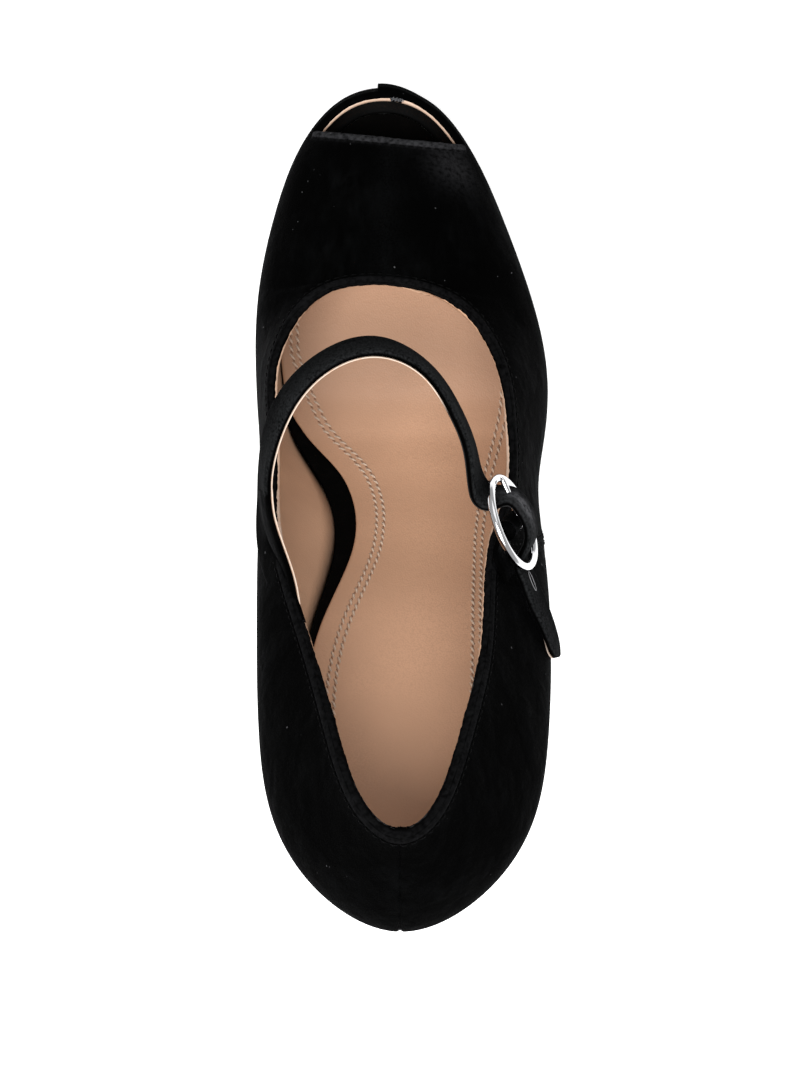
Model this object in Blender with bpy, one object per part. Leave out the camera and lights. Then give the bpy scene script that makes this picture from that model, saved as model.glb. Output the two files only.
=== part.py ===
"""Peep-toe pump with an instep strap and a high block heel, for the right foot.

The origin is the middle of the forefoot tread. +Y points to the toe, +X to the outer (lateral) side
and +Z up. Sizes and tables are in millimetres, and MM turns them into metres where a mesh is made.
"""

import math

import bpy
import numpy as np

MM = 0.001

# Driving dimensions
GAP = 0.3
WALL = 2.4
OUTSOLE_THICK = 3.2
INSOLE_THICK = 2.4
SOCK_THICK = 1.0
INSOLE_CLEARANCE = 0.35
SOCK_INSET = 1.2
SOCK_ARCH_INSET = 5.8
SOCK_ARCH_Y = -29.0
SOCK_ARCH_FRONT = 14.0
SOCK_ARCH_BACK = 28.0
SOCK_FRONT_Y = 34.0
OUTSOLE_WELT = 0.6
HEEL_BREAST_Y = -90.0
BREAST_SETBACK = 1.0
HEEL_TOP_INSET = 0.4
HEEL_DRAW_EVEN = 0.3
HEEL_DRAW_POWER = 2.4
LIFT_THICK = 6.0
LIFT_HALF_WIDTH = 18.5
LIFT_FRONT_Y = -91.0
LIFT_BACK_Y = -124.0
LIFT_CENTRE_X = 1.0
LIFT_BACK_ROUND = 0.995
LAP_STEP = 1.2
LAP_X = -6.0
LAP_EASE = 13.0
LAP_FRONT_Y = 70.0
LAP_HALF_STEP = 0.15
LAP_CLEAR = 1.5
STRAP_WIDTH = 8.6
STRAP_THICK = 2.0
RING_LONG = 11.4
RING_ACROSS = 10.6
RING_WIRE = 1.0
BAR_WIRE = 0.8
PRONG_WIRE = 0.75
TAB_WIDTH = 8.4
TAB_THICK = 1.2
TAB_SLOT_BACK = 3.2
TAB_SLOT_FRONT = -4.0
HOLE_LENGTH = 8.0
HOLE_WIDTH = 2.6
HOLE_FORWARD = 0.6
PRONG_OVERHANG = 1.2
PRONG_TIP = 0.6
STRAP_EASE = 0.1
TIP_BLUNT = 0.16
PLATE_TIP = 0.15
BAND_CHAMFER = 0.3
CUTTER_LOW = -6.0
CUTTER_HIGH = 8.0

# Heights above the sole line, measured square to it
FEATHER = OUTSOLE_THICK + GAP
INSOLE_TOP = FEATHER + INSOLE_THICK
SOCK_BOTTOM = INSOLE_TOP + GAP
SOCK_TOP = SOCK_BOTTOM + SOCK_THICK

# How finely the surfaces are divided
COLLAR_COLUMNS = 64
VAMP_COLUMNS = 10
RIM_COLUMNS = 16
BELOW_ROWS = 4
ABOVE_ROWS = 9
RIM_ROWS = 2
PLATE_STATIONS = 56
HEEL_STATIONS = 16
HEEL_LEVELS = 8
STRAP_STATIONS = 70
HOLE_SIDES = 12
RING_STATIONS = 40
WIRE_SIDES = 10
PRONG_SIDES = 8

# Underside of the outsole along the middle of the shoe, from toe to heel: flat under the ball of the foot
SOLE_LINE = [
    # place, y, z
    ("toe", 84.0, 9.0),
    ("toe spring", 60.0, 3.8),
    ("tread front", 26.0, 0.0),
    ("tread back", -5.0, 0.0),
    ("waist front", -17.0, 2.2),
    ("shank low", -30.0, 9.6),
    ("shank middle", -48.0, 26.2),
    ("shank high", -70.0, 50.5),
    ("breast", -90.0, 68.5),
    ("seat", -110.0, 81.0),
    ("heel end", -140.0, 92.5),
]

# Widest line of the upper seen from above, as ribs in order from the throat round the outer side, heel,
# inner side and toe. Tuck is how far the bottom edge lies inside that line, belly how far below it.
RIBS = [
    # name, x, y, tuck, belly
    ("outer throat", 36.2, 20.0, 3.0, 10.0),
    ("outer throat side", 38.7, 9.6, 3.0, 10.5),
    ("outer ball", 40.0, -3.0, 3.2, 11.0),
    ("outer waist front", 38.9, -17.0, 3.6, 13.0),
    ("outer waist", 36.8, -31.0, 4.4, 14.0),
    ("outer arch", 37.4, -48.0, 6.0, 13.5),
    ("outer quarter", 37.7, -66.0, 6.4, 11.5),
    ("outer seat", 36.0, -90.0, 6.0, 11.0),
    ("outer heel", 31.0, -112.0, 4.6, 11.0),
    ("outer back", 18.0, -128.4, 3.2, 10.0),
    ("back seam", 0.0, -135.6, 2.4, 9.0),
    ("inner back", -17.0, -128.4, 3.2, 10.0),
    ("inner heel", -29.4, -112.0, 4.8, 11.0),
    ("inner seat", -33.9, -90.0, 6.0, 15.0),
    ("inner quarter", -35.2, -66.0, 9.8, 23.0),
    ("inner arch", -35.9, -48.0, 14.8, 29.0),
    ("inner waist", -36.6, -31.0, 11.8, 25.0),
    ("inner waist front", -37.8, -17.0, 5.4, 17.0),
    ("inner ball", -38.9, -3.0, 3.8, 12.0),
    ("inner throat side", -39.3, 10.0, 3.2, 10.5),
    ("inner throat", -38.5, 23.0, 3.0, 10.0),
    ("inner vamp", -33.6, 45.6, 2.8, 9.0),
    ("inner corner", -24.2, 66.3, 2.6, 8.5),
    ("inner toe", -14.4, 75.2, 2.5, 8.0),
    ("toe", -4.4, 77.5, 2.5, 8.0),
    ("outer toe", 6.6, 74.8, 2.5, 8.0),
    ("outer corner", 18.4, 62.5, 2.6, 8.5),
    ("outer vamp", 28.8, 41.0, 2.8, 9.0),
]

# Top edge of the collar and throat. Each point stands above the rib of the same name. Dome is 1 where
# the wall closes over like a vault and 0 where it runs straight up to its edge.
TOPLINE = [
    # rib, x, y, z, dome
    ("outer throat", -4.2, 22.5, 39.0, 1.0),
    ("outer throat side", 13.8, 18.0, 38.6, 0.72),
    ("outer ball", 26.0, 2.6, 44.2, 0.45),
    ("outer waist front", 29.0, -15.0, 52.4, 0.3),
    ("outer waist", 28.6, -30.0, 61.5, 0.25),
    ("outer arch", 23.2, -45.5, 79.0, 0.2),
    ("outer quarter", 21.0, -65.0, 97.5, 0.15),
    ("outer seat", 16.6, -84.0, 114.5, 0.15),
    ("outer heel", 11.6, -98.4, 127.5, 0.1),
    ("outer back", 6.4, -106.6, 134.0, 0.1),
    ("back seam", 0.0, -109.6, 136.0, 0.1),
    ("inner back", -6.2, -106.8, 134.0, 0.1),
    ("inner heel", -12.0, -98.6, 127.5, 0.1),
    ("inner seat", -17.0, -84.0, 114.5, 0.15),
    ("inner quarter", -23.2, -66.0, 96.0, 0.25),
    ("inner arch", -30.2, -46.5, 77.5, 0.3),
    ("inner waist", -32.5, -31.0, 62.5, 0.3),
    ("inner waist front", -33.2, -15.5, 53.0, 0.35),
    ("inner ball", -33.1, 2.4, 44.6, 0.45),
    ("inner throat side", -23.3, 18.4, 38.4, 0.72),
]

# Ridge of the vamp from the throat to the front edge over the toes
RIDGE = [
    # place, x, y, z
    ("throat", -4.2, 22.5, 39.0),
    ("middle", -3.6, 43.0, 35.2),
    ("front edge", -3.0, 62.3, 28.5),
]
VAMP_SLANT = 0.1
VAMP_RAKE = 0.18

# Where the lower curve of a rib bends, as a share of its belly, and the flattest wall that keeps its
# full thickness
KNEE = 0.45
LEAST_SLOPE = 0.6

# How far the upper curve of a rib runs upright before it leans in, as a share of its rise, and how far
# it runs level into a vault or straight into a collar edge, as a share of its reach
UPRIGHT_SHARE = 0.28
UPRIGHT_VAULT_SHARE = 0.27
VAULT_LEVEL_SHARE = 0.55
COLLAR_STRAIGHT_SHARE = 0.4

# Middle line of the strap from its sewn end on the inner side over the instep, and the way its width
# points, from the lower edge to the upper one
STRAP_ARCH = [
    # place, x, y, z, across x, across y, across z
    ("sewn end", -34.5, -45.8, 71.4, 0.26, -0.45, 0.85),
    ("inner edge", -33.6, -39.0, 75.4, 0.28, -0.45, 0.85),
    ("inner side", -32.7, -30.0, 82.4, 0.26, -0.5, 0.82),
    ("inner shoulder", -29.6, -16.6, 90.0, 0.36, -0.5, 0.78),
    ("inner crown", -20.4, -4.4, 95.4, 0.22, -0.52, 0.82),
    ("crown", -6.0, 1.0, 97.5, 0.0, -0.52, 0.85),
    ("outer crown", 6.4, -3.4, 94.8, -0.17, -0.44, 0.86),
    ("outer shoulder", 13.6, -14.2, 90.0, -0.16, -0.34, 0.9),
    ("outer side", 17.2, -24.6, 85.6, -0.18, -0.38, 0.86),
]
STRAP_TAIL = [
    # place, x, y, z, across x, across y, across z
    ("tail start", 32.4, -57.3, 76.0, -0.42, -0.2, 0.88),
    ("tail middle", 35.9, -65.4, 74.8, -0.38, -0.05, 0.92),
    ("tail end", 38.5, -73.2, 73.0, -0.26, 0.0, 0.96),
]

# Place of the buckle: its middle, the way the strap runs through it and the way across
BUCKLE_CENTRE = np.array([27.9, -40.2, 79.3])
BUCKLE_ALONG = np.array([0.371, -0.909, -0.192])
BUCKLE_ACROSS = np.array([-0.302, -0.313, 0.901])

# Tab from the quarter to the bar, in the buckle's own directions, and the turns round the bar in degrees
TAB_LEAD = [
    # place, along, across, outward
    ("quarter", 9.4, 0.0, -4.15),
    ("under the strap", 6.6, 0.0, -4.5),
    ("rising", 3.6, 0.0, -3.9),
]
TAB_TURN = (-80, -330)
PRONG_TURN = (-70, 90)

# How far short of the ring's front and back, and how far behind it, the strap runs level under the wire
STRAP_UNDER_FRONT = 1.8
STRAP_UNDER_BACK = 1.0
STRAP_BEHIND = 1.5


def column(rows, index):
    """One column of a table as an array."""
    return np.array([row[index] for row in rows], float)


def unit(vectors):
    """Vectors of length one."""
    return vectors / np.linalg.norm(vectors, axis=-1, keepdims=True)


def smooth_line(knots, values, at):
    """Cubic through the knots that keeps flat stretches flat and never overshoots."""
    order = np.argsort(knots)
    knots, values = knots[order], values[order]
    steps = np.diff(knots)
    slopes = np.diff(values) / steps
    same_way = slopes[:-1] * slopes[1:] > 0
    total = np.where(same_way, slopes[:-1] + slopes[1:], 1.0)
    inner = np.where(same_way, 2 * slopes[:-1] * slopes[1:] / total, 0.0)
    tangents = np.concatenate([[slopes[0]], inner, [slopes[-1]]])
    place = np.clip(np.searchsorted(knots, at) - 1, 0, len(steps) - 1)
    step = steps[place]
    t = (at - knots[place]) / step
    start = values[place] * (1 + 2 * t) * (1 - t) ** 2 + tangents[place] * step * t * (1 - t) ** 2
    end = values[place + 1] * t**2 * (3 - 2 * t) + tangents[place + 1] * step * t**2 * (t - 1)
    return start + end


def spline(knots, values, at, period=None):
    """Cubic spline with even curvature through points, closed when a period is given."""
    knots = np.asarray(knots, float)
    values = np.asarray(values, float)
    if period is not None:
        knots = np.concatenate([knots, [knots[0] + period]])
        values = np.concatenate([values, values[:1]])
    steps = np.diff(knots)
    slopes = np.diff(values, axis=0) / steps[:, None]
    count = len(knots)
    matrix = np.zeros((count, count))
    right = np.zeros((count, values.shape[1]))
    for k in range(1, count - 1):
        matrix[k, k - 1:k + 2] = steps[k], 2 * (steps[k - 1] + steps[k]), steps[k - 1]
        right[k] = 3 * (steps[k] * slopes[k - 1] + steps[k - 1] * slopes[k])
    if period is None:
        matrix[0, :2] = 2, 1
        right[0] = 3 * slopes[0]
        matrix[-1, -2:] = 1, 2
        right[-1] = 3 * slopes[-1]
    else:
        matrix[0, 0], matrix[0, -1] = 1, -1
        matrix[-1, [0, 1, -2]] = 2 * steps[-1], steps[-1], steps[0]
        matrix[-1, -1] = 2 * steps[0]
        right[-1] = 3 * (steps[-1] * slopes[0] + steps[0] * slopes[-1])
    tangents = np.linalg.solve(matrix, right)
    at = np.asarray(at, float)
    if period is not None:
        at = knots[0] + np.mod(at - knots[0], period)
    place = np.clip(np.searchsorted(knots, at, side="right") - 1, 0, count - 2)
    step = steps[place][:, None]
    t = ((at - knots[place]) / steps[place])[:, None]
    start = values[place] * (1 + 2 * t) * (1 - t) ** 2 + tangents[place] * step * t * (1 - t) ** 2
    end = values[place + 1] * t**2 * (3 - 2 * t) + tangents[place + 1] * step * t**2 * (t - 1)
    return start + end


def sole_height(y, level):
    """Height of the layer that lies a given distance above the sole line, measured square to the line."""
    along = np.linspace(column(SOLE_LINE, 1).min(), column(SOLE_LINE, 1).max(), 600)
    low = smooth_line(column(SOLE_LINE, 1), column(SOLE_LINE, 2), along)
    slope = np.gradient(low, along)
    length = np.sqrt(1 + slope**2)
    return np.interp(y, along - level * slope / length, low + level / length)


def rib_stations():
    """Running length of each rib along the widest line, by name, and the whole length."""
    points = np.stack([column(RIBS, 1), column(RIBS, 2)], axis=1)
    steps = np.linalg.norm(np.roll(points, -1, axis=0) - points, axis=1)
    starts = np.concatenate([[0.0], np.cumsum(steps)[:-1]])
    return dict(zip([row[0] for row in RIBS], starts)), steps.sum()


STATIONS, ROUND = rib_stations()
COLLAR_END = STATIONS["inner throat"]
INNER_CORNER = STATIONS["inner corner"]
OUTER_CORNER = STATIONS["outer corner"]


def ribs_at(stations):
    """Widest line, its outward direction, tuck and belly at stations round the shoe."""
    knots = [STATIONS[row[0]] for row in RIBS]
    values = spline(knots, [row[1:] for row in RIBS], stations, ROUND)
    ahead = spline(knots, [row[1:] for row in RIBS], np.asarray(stations) + 0.5, ROUND)
    behind = spline(knots, [row[1:] for row in RIBS], np.asarray(stations) - 0.5, ROUND)
    tangent = unit(ahead[:, :2] - behind[:, :2])
    outward = np.stack([-tangent[:, 1], tangent[:, 0]], axis=1)
    return values[:, :2], outward, values[:, 2], values[:, 3]


def edge_width(tuck, belly):
    """Level width of the wall's bottom edge, wider where the wall starts out flatter."""
    steep = KNEE * belly / np.hypot(tuck, KNEE * belly)
    return WALL / np.maximum(steep, LEAST_SLOPE)


def top_at(stations):
    """Top edge and dome above stations round the shoe: collar, then the vamp's ridge and its front end."""
    stations = np.asarray(stations, float)
    knots = [STATIONS[row[0]] for row in TOPLINE]
    collar = spline(knots, [row[1:] for row in TOPLINE], stations, COLLAR_END)
    inner = (stations - COLLAR_END) / (INNER_CORNER - COLLAR_END)
    outer = (ROUND - stations) / (ROUND - OUTER_CORNER)
    forward = np.clip(np.minimum(inner, outer), 0, 1)
    ridge = spline([0.0, 0.5, 1.0], [row[1:] for row in RIDGE], forward)
    ridge = np.concatenate([ridge, np.ones((len(stations), 1))], axis=1)
    top = np.where((stations <= COLLAR_END)[:, None], collar, ridge)
    return top[:, :3], top[:, 3]


def wall_grid(stations):
    """Outer face of the upper: rows from the bottom edge through the widest line to the top edge.

    Below the widest line each rib is a quadratic curve, above it a cubic one that leaves upright and
    arrives level on a vault or straight at a collar edge.
    """
    widest, outward, tuck, belly = ribs_at(stations)
    foot = widest - outward * tuck[:, None]
    foot_z = sole_height(foot[:, 1], FEATHER)
    bottom = np.column_stack([foot, foot_z])
    middle = np.column_stack([widest, foot_z + belly])
    knee = np.column_stack([widest, foot_z + KNEE * belly])
    top, dome = top_at(stations)
    chord = top - middle
    rise = chord[:, 2:3]
    dome = dome[:, None]
    upright = np.column_stack([np.zeros(len(dome)), -VAMP_RAKE * dome[:, 0], np.ones(len(dome))])
    leave = middle + upright * rise * (UPRIGHT_SHARE + UPRIGHT_VAULT_SHARE * dome)
    across = np.column_stack([-chord[:, 0], VAMP_SLANT * chord[:, 0], np.zeros(len(dome))])
    arrive = top + dome * VAULT_LEVEL_SHARE * across - (1 - dome) * COLLAR_STRAIGHT_SHARE * chord
    t = np.linspace(0, 1, BELOW_ROWS + 1)[:, None, None]
    below = bottom * (1 - t) ** 2 + 2 * knee * t * (1 - t) + middle * t**2
    t = np.linspace(0, 1, ABOVE_ROWS + 1)[1:, None, None]
    above = middle * (1 - t) ** 3 + 3 * leave * t * (1 - t) ** 2 + 3 * arrive * t**2 * (1 - t) + top * t**3
    return np.concatenate([below, above]), outward


def even_stations(start, end, count):
    """Stations that divide the wall evenly, counting both its widest line and its top edge."""
    dense = np.linspace(start, end, 800)
    widest = ribs_at(dense)[0]
    top = top_at(dense)[0]
    travel = 2 * np.linalg.norm(np.diff(widest, axis=0), axis=1)
    travel = travel + np.linalg.norm(np.diff(top, axis=0), axis=1)
    travel = np.concatenate([[0.0], np.cumsum(travel)])
    return np.interp(np.linspace(0, travel[-1], count + 1), travel, dense)


def lap_offset(widest):
    """Extra thickness of the toe rim where its outer end laps over the inner one, with a step there."""
    beyond = (widest[:, 0] - LAP_X) / LAP_EASE
    inside = (beyond > 0) & (beyond < 1) & (widest[:, 1] > LAP_FRONT_Y)
    return np.where(inside, LAP_STEP * (1 - beyond**2) ** 2, 0.0)


def material(name, colour, roughness, metallic=0.0):
    made = bpy.data.materials.new(name)
    made.use_nodes = True
    shader = made.node_tree.nodes["Principled BSDF"]
    shader.inputs["Base Color"].default_value = (*colour, 1.0)
    shader.inputs["Roughness"].default_value = roughness
    shader.inputs["Metallic"].default_value = metallic
    return made


def add_solid(name, points, faces, finish, sharp_deg=35):
    """One named object from points in millimetres."""
    mesh = bpy.data.meshes.new(name)
    mesh.from_pydata((np.asarray(points) * MM).tolist(), [], [list(face) for face in faces])
    mesh.shade_smooth()
    mesh.set_sharp_from_angle(angle=math.radians(sharp_deg))
    mesh.materials.append(finish)
    solid = bpy.data.objects.new(name, mesh)
    bpy.context.scene.collection.objects.link(solid)
    return solid


def make_upper(finish):
    """Hollow wall with the shape of the last, open at collar, throat, peep toe and underneath."""
    collar = even_stations(0, COLLAR_END, COLLAR_COLUMNS)
    inner_vamp = np.linspace(COLLAR_END, INNER_CORNER, VAMP_COLUMNS + 1)[1:]
    rim = np.linspace(INNER_CORNER, OUTER_CORNER, RIM_COLUMNS + 1)[1:-1]
    lap = np.interp(LAP_X, ribs_at(rim)[0][:, 0], rim)
    step = [lap - LAP_HALF_STEP, lap + LAP_HALF_STEP]
    rim = np.sort(np.concatenate([rim[np.abs(rim - lap) > LAP_CLEAR], step]))
    outer_vamp = np.linspace(OUTER_CORNER, ROUND, VAMP_COLUMNS + 1)[:-1]
    stations = np.concatenate([collar, inner_vamp, rim, outer_vamp])
    grid, outward = wall_grid(stations)
    rows, columns = grid.shape[:2]
    number = np.arange(rows * columns).reshape(rows, columns)
    # The two sides of the vamp share the points of its ridge
    ridge_inner = COLLAR_COLUMNS + np.arange(VAMP_COLUMNS + 1)
    ridge_outer = (columns - np.arange(VAMP_COLUMNS + 1)) % columns
    number[-1, ridge_outer] = number[-1, ridge_inner]
    here = np.arange(columns)
    after = np.roll(here, -1)
    quads = np.stack([number[:-1, here], number[1:, here], number[1:, after], number[:-1, after]], axis=-1)
    first_rim = COLLAR_COLUMNS + VAMP_COLUMNS
    on_rim = (here >= first_rim) & (here < first_rim + len(rim) + 1)
    above_rim = np.arange(rows - 1)[:, None] >= BELOW_ROWS + RIM_ROWS
    quads = quads[~(above_rim & on_rim)].reshape(-1, 4)
    points = grid.reshape(-1, 3)
    normals = np.zeros_like(points)
    corners = points[quads]
    face_normals = np.cross(corners[:, 2] - corners[:, 0], corners[:, 3] - corners[:, 1])
    np.add.at(normals, quads.ravel(), np.repeat(face_normals, 4, axis=0))
    normals = unit(normals + 1e-12)
    # The wall is measured level or upward, so that its bottom edge stays level
    aim = unit(np.column_stack([normals[:, :2], np.maximum(normals[:, 2], 0.0)]))
    inset = WALL / np.maximum((normals * aim).sum(axis=1), LEAST_SLOPE)
    inside = points - aim * inset[:, None]
    widest, _, tuck, belly = ribs_at(stations)
    inside[:columns, :2] = grid[0, :, :2] - outward * edge_width(tuck, belly)[:, None]
    inside[:columns, 2] = grid[0, :, 2]
    lapped = lap_offset(widest)[None, :, None] * np.column_stack([outward, np.zeros(columns)])
    points = points + np.broadcast_to(lapped, grid.shape).reshape(-1, 3)
    edges = np.concatenate([quads[:, [k, (k + 1) % 4]] for k in range(4)])
    keys = np.sort(edges, axis=1)
    _, first, uses = np.unique(keys, axis=0, return_index=True, return_counts=True)
    border = edges[first[uses == 1]]
    total = len(points)
    band = np.stack([border[:, 1], border[:, 0], border[:, 0] + total, border[:, 1] + total], axis=1)
    faces = np.concatenate([quads, quads[:, ::-1] + total, band])
    used, renumbered = np.unique(faces, return_inverse=True)
    solid_points = np.concatenate([points, inside])[used]
    return add_solid("upper", solid_points, renumbered.reshape(faces.shape), finish, 50)


def bottom_edge(inset, inside_wall=False):
    """Inner and outer edges of the shoe's bottom outline, drawn in by an inset, as dense lines by y."""
    dense = np.linspace(0, ROUND, 2000, endpoint=False)
    widest, outward, tuck, belly = ribs_at(dense)
    inset = inset + inside_wall * edge_width(tuck, belly)
    line = widest - outward * (tuck + inset)[:, None]
    back, front = np.argmin(line[:, 1]), np.argmax(line[:, 1])
    outer = np.concatenate([line[front:], line[:back + 1]])
    inner = line[back:front + 1]
    return inner, outer[::-1]


def edge_at(line, y):
    """Sideways place of an edge line at given y."""
    rising = np.maximum.accumulate(line[:, 1])
    return np.interp(y, rising, line[:, 0])


def stations_between(back, front, count):
    """Places along y, closer together at both ends where an outline turns round."""
    turn = np.linspace(0, math.pi, count + 1)
    return back + (front - back) * (1 - np.cos(turn)) / 2


def add_ladder(name, inner, outer, finish, sharp_deg=35):
    """Solid between two sides: arrays of levels from bottom to top by stations from back to front."""
    levels, count = inner.shape[:2]
    points = np.concatenate([inner.reshape(-1, 3), outer.reshape(-1, 3)])
    left = np.arange(levels * count).reshape(levels, count)
    right = left + levels * count
    faces = []
    for k in range(count - 1):
        faces.append((left[0, k], left[0, k + 1], right[0, k + 1], right[0, k]))
        faces.append((left[-1, k], right[-1, k], right[-1, k + 1], left[-1, k + 1]))
        for m in range(levels - 1):
            faces.append((left[m, k], left[m + 1, k], left[m + 1, k + 1], left[m, k + 1]))
            faces.append((right[m, k], right[m, k + 1], right[m + 1, k + 1], right[m + 1, k]))
    for m in range(levels - 1):
        faces.append((left[m, 0], right[m, 0], right[m + 1, 0], left[m + 1, 0]))
        faces.append((left[m, -1], left[m + 1, -1], right[m + 1, -1], right[m, -1]))
    return add_solid(name, points, faces, finish, sharp_deg)


def add_plate(name, edges, low, high, finish, back=None, front=None, bay=None):
    """Layer of the sole between two heights above the sole line, inside a pair of edges."""
    inner_edge, outer_edge = edges
    back = inner_edge[:, 1].min() + PLATE_TIP if back is None else back
    front = inner_edge[:, 1].max() - PLATE_TIP if front is None else front
    y = stations_between(back, front, PLATE_STATIONS)
    inner_x = edge_at(inner_edge, y)
    outer_x = edge_at(outer_edge, y)
    if bay is not None:
        inner_x = inner_x + bay(y)
    heights = [sole_height(y, level) for level in (low, high)]
    inner = np.stack([np.column_stack([inner_x, y, z]) for z in heights])
    outer = np.stack([np.column_stack([outer_x, y, z]) for z in heights])
    return add_ladder(name, inner, outer, finish)


def sock_bay(y):
    """How far the sock's inner edge draws in at the arch, where it leaves the insole bare."""
    reach = np.where(y > SOCK_ARCH_Y, SOCK_ARCH_FRONT, SOCK_ARCH_BACK)
    return SOCK_ARCH_INSET * np.exp(-(((y - SOCK_ARCH_Y) / reach) ** 2))


def lift_edges(y):
    """Half width of the top lift by y: a straight front with a round back."""
    radius = LIFT_HALF_WIDTH
    turn = np.clip((LIFT_BACK_Y + radius - y) / radius, 0, 1)
    return radius * np.sqrt(1 - LIFT_BACK_ROUND * turn**2)


def make_heel(finish):
    """Heel block from the seat down to the top lift, drawn in towards the floor with a hollow curve."""
    inner_edge, outer_edge = bottom_edge(HEEL_TOP_INSET)
    share = 1 - np.cos(np.linspace(0, math.pi / 2, HEEL_STATIONS + 1))
    seat_back = inner_edge[:, 1].min() + PLATE_TIP
    seat_y = seat_back + (HEEL_BREAST_Y - seat_back) * share
    foot_y = LIFT_BACK_Y + (LIFT_FRONT_Y - LIFT_BACK_Y) * share
    seat_z = sole_height(seat_y, OUTSOLE_THICK)
    foot_z = np.full_like(foot_y, LIFT_THICK + GAP)
    half = lift_edges(foot_y)
    sides = []
    for seat_x, foot_x in (
        (edge_at(inner_edge, seat_y), LIFT_CENTRE_X - half),
        (edge_at(outer_edge, seat_y), LIFT_CENTRE_X + half),
    ):
        seat = np.column_stack([seat_x, seat_y, seat_z])
        foot = np.column_stack([foot_x, foot_y, foot_z])
        levels = []
        for rise in np.linspace(0, 1, HEEL_LEVELS + 1):
            drawn = HEEL_DRAW_EVEN * rise + (1 - HEEL_DRAW_EVEN) * rise**HEEL_DRAW_POWER
            plan = foot[:, :2] + (seat[:, :2] - foot[:, :2]) * drawn
            levels.append(np.column_stack([plan, foot[:, 2] + (seat[:, 2] - foot[:, 2]) * rise]))
        sides.append(np.stack(levels))
    return add_ladder("heel", sides[0], sides[1], finish)


def make_top_lift(finish):
    """Flat piece under the heel that stands on the floor."""
    share = 1 - np.cos(np.linspace(0, math.pi / 2, HEEL_STATIONS + 1))
    y = LIFT_BACK_Y + (LIFT_FRONT_Y - LIFT_BACK_Y) * share
    half = lift_edges(y)
    levels = [np.full_like(y, z) for z in (0.0, LIFT_THICK)]
    inner = np.stack([np.column_stack([LIFT_CENTRE_X - half, y, z]) for z in levels])
    outer = np.stack([np.column_stack([LIFT_CENTRE_X + half, y, z]) for z in levels])
    return add_ladder("top_lift", inner, outer, finish)


def buckle_frame():
    """Directions of the buckle: along the strap, across it towards the upper edge, and outward."""
    along = unit(BUCKLE_ALONG)
    across = unit(BUCKLE_ACROSS - along * (BUCKLE_ACROSS @ along))
    outward = np.cross(across, along)
    return along, across, outward


def in_buckle(places):
    """World points from places given along, across and outward from the buckle's middle."""
    return BUCKLE_CENTRE + np.asarray(places, float) @ np.stack(buckle_frame())


def sweep(path, across, outline):
    """Rings of points: an outline of (across, thickness) pairs carried along a path."""
    tangent = unit(np.gradient(path, axis=0))
    across = unit(across - tangent * (across * tangent).sum(axis=1, keepdims=True))
    normal = np.cross(across, tangent)
    return path[:, None] + outline[..., :1] * across[:, None] + outline[..., 1:] * normal[:, None]


def add_sweep(name, rings, finish, sharp_deg=35):
    """Closed solid from rings of points, with flat ends."""
    count, around = rings.shape[:2]
    number = np.arange(count * around).reshape(count, around)
    after = np.roll(number, -1, axis=1)
    sides = np.stack([number[:-1], number[1:], after[1:], after[:-1]], axis=-1).reshape(-1, 4)
    faces = [*sides.tolist(), number[0].tolist(), number[-1, ::-1].tolist()]
    return add_solid(name, rings.reshape(-1, 3), faces, finish, sharp_deg)


def band_outline(width, thick):
    """Flat band with small chamfers, as pairs of (across, thickness)."""
    cut = BAND_CHAMFER * thick
    half_w, half_t = width / 2, thick / 2
    corner = [
        (half_w, half_t - cut), (half_w - cut, half_t), (cut - half_w, half_t), (-half_w, half_t - cut),
        (-half_w, cut - half_t), (cut - half_w, -half_t), (half_w - cut, -half_t), (half_w, cut - half_t),
    ]
    return np.array(corner)


def strap_path():
    """Middle line of the strap and the way its width points, from the sewn end to the tip of the tail."""
    _, across, _ = buckle_frame()
    under = -(RING_WIRE + GAP + STRAP_THICK / 2 + STRAP_EASE)
    over = BAR_WIRE + TAB_THICK + 3 * GAP + STRAP_THICK / 2
    through = in_buckle([
        (-RING_LONG + STRAP_UNDER_FRONT, 0, under), (-RING_LONG / 2, 0, over / 3),
        (0, 0, over), (RING_LONG / 2, 0, over / 3),
        (RING_LONG - STRAP_UNDER_BACK, 0, under), (RING_LONG + STRAP_BEHIND, 0, under),
    ])
    rows = np.array([row[1:] for row in STRAP_ARCH])
    tail = np.array([row[1:] for row in STRAP_TAIL])
    middle = np.column_stack([through, np.repeat(across[None], len(through), axis=0)])
    knots = np.concatenate([rows, middle, tail])
    lengths = np.linalg.norm(np.diff(knots[:, :3], axis=0), axis=1)
    travel = np.concatenate([[0.0], np.cumsum(lengths)])
    dense = spline(travel, knots, np.linspace(0, travel[-1], 2000))
    run = np.concatenate([[0.0], np.cumsum(np.linalg.norm(np.diff(dense[:, :3], axis=0), axis=1))])
    even = np.linspace(0, run[-1], STRAP_STATIONS + 1)
    line = np.stack([np.interp(even, run, dense[:, k]) for k in range(6)], axis=1)
    return line[:, :3], line[:, 3:]


def cut_from(solid, cutter):
    """Takes the cutter's shape out of a solid and hides the cutter."""
    cutter.hide_render = True
    cutter.display_type = "WIRE"
    cut = solid.modifiers.new("cut " + cutter.name, "BOOLEAN")
    cut.operation = "DIFFERENCE"
    cut.object = cutter


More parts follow.
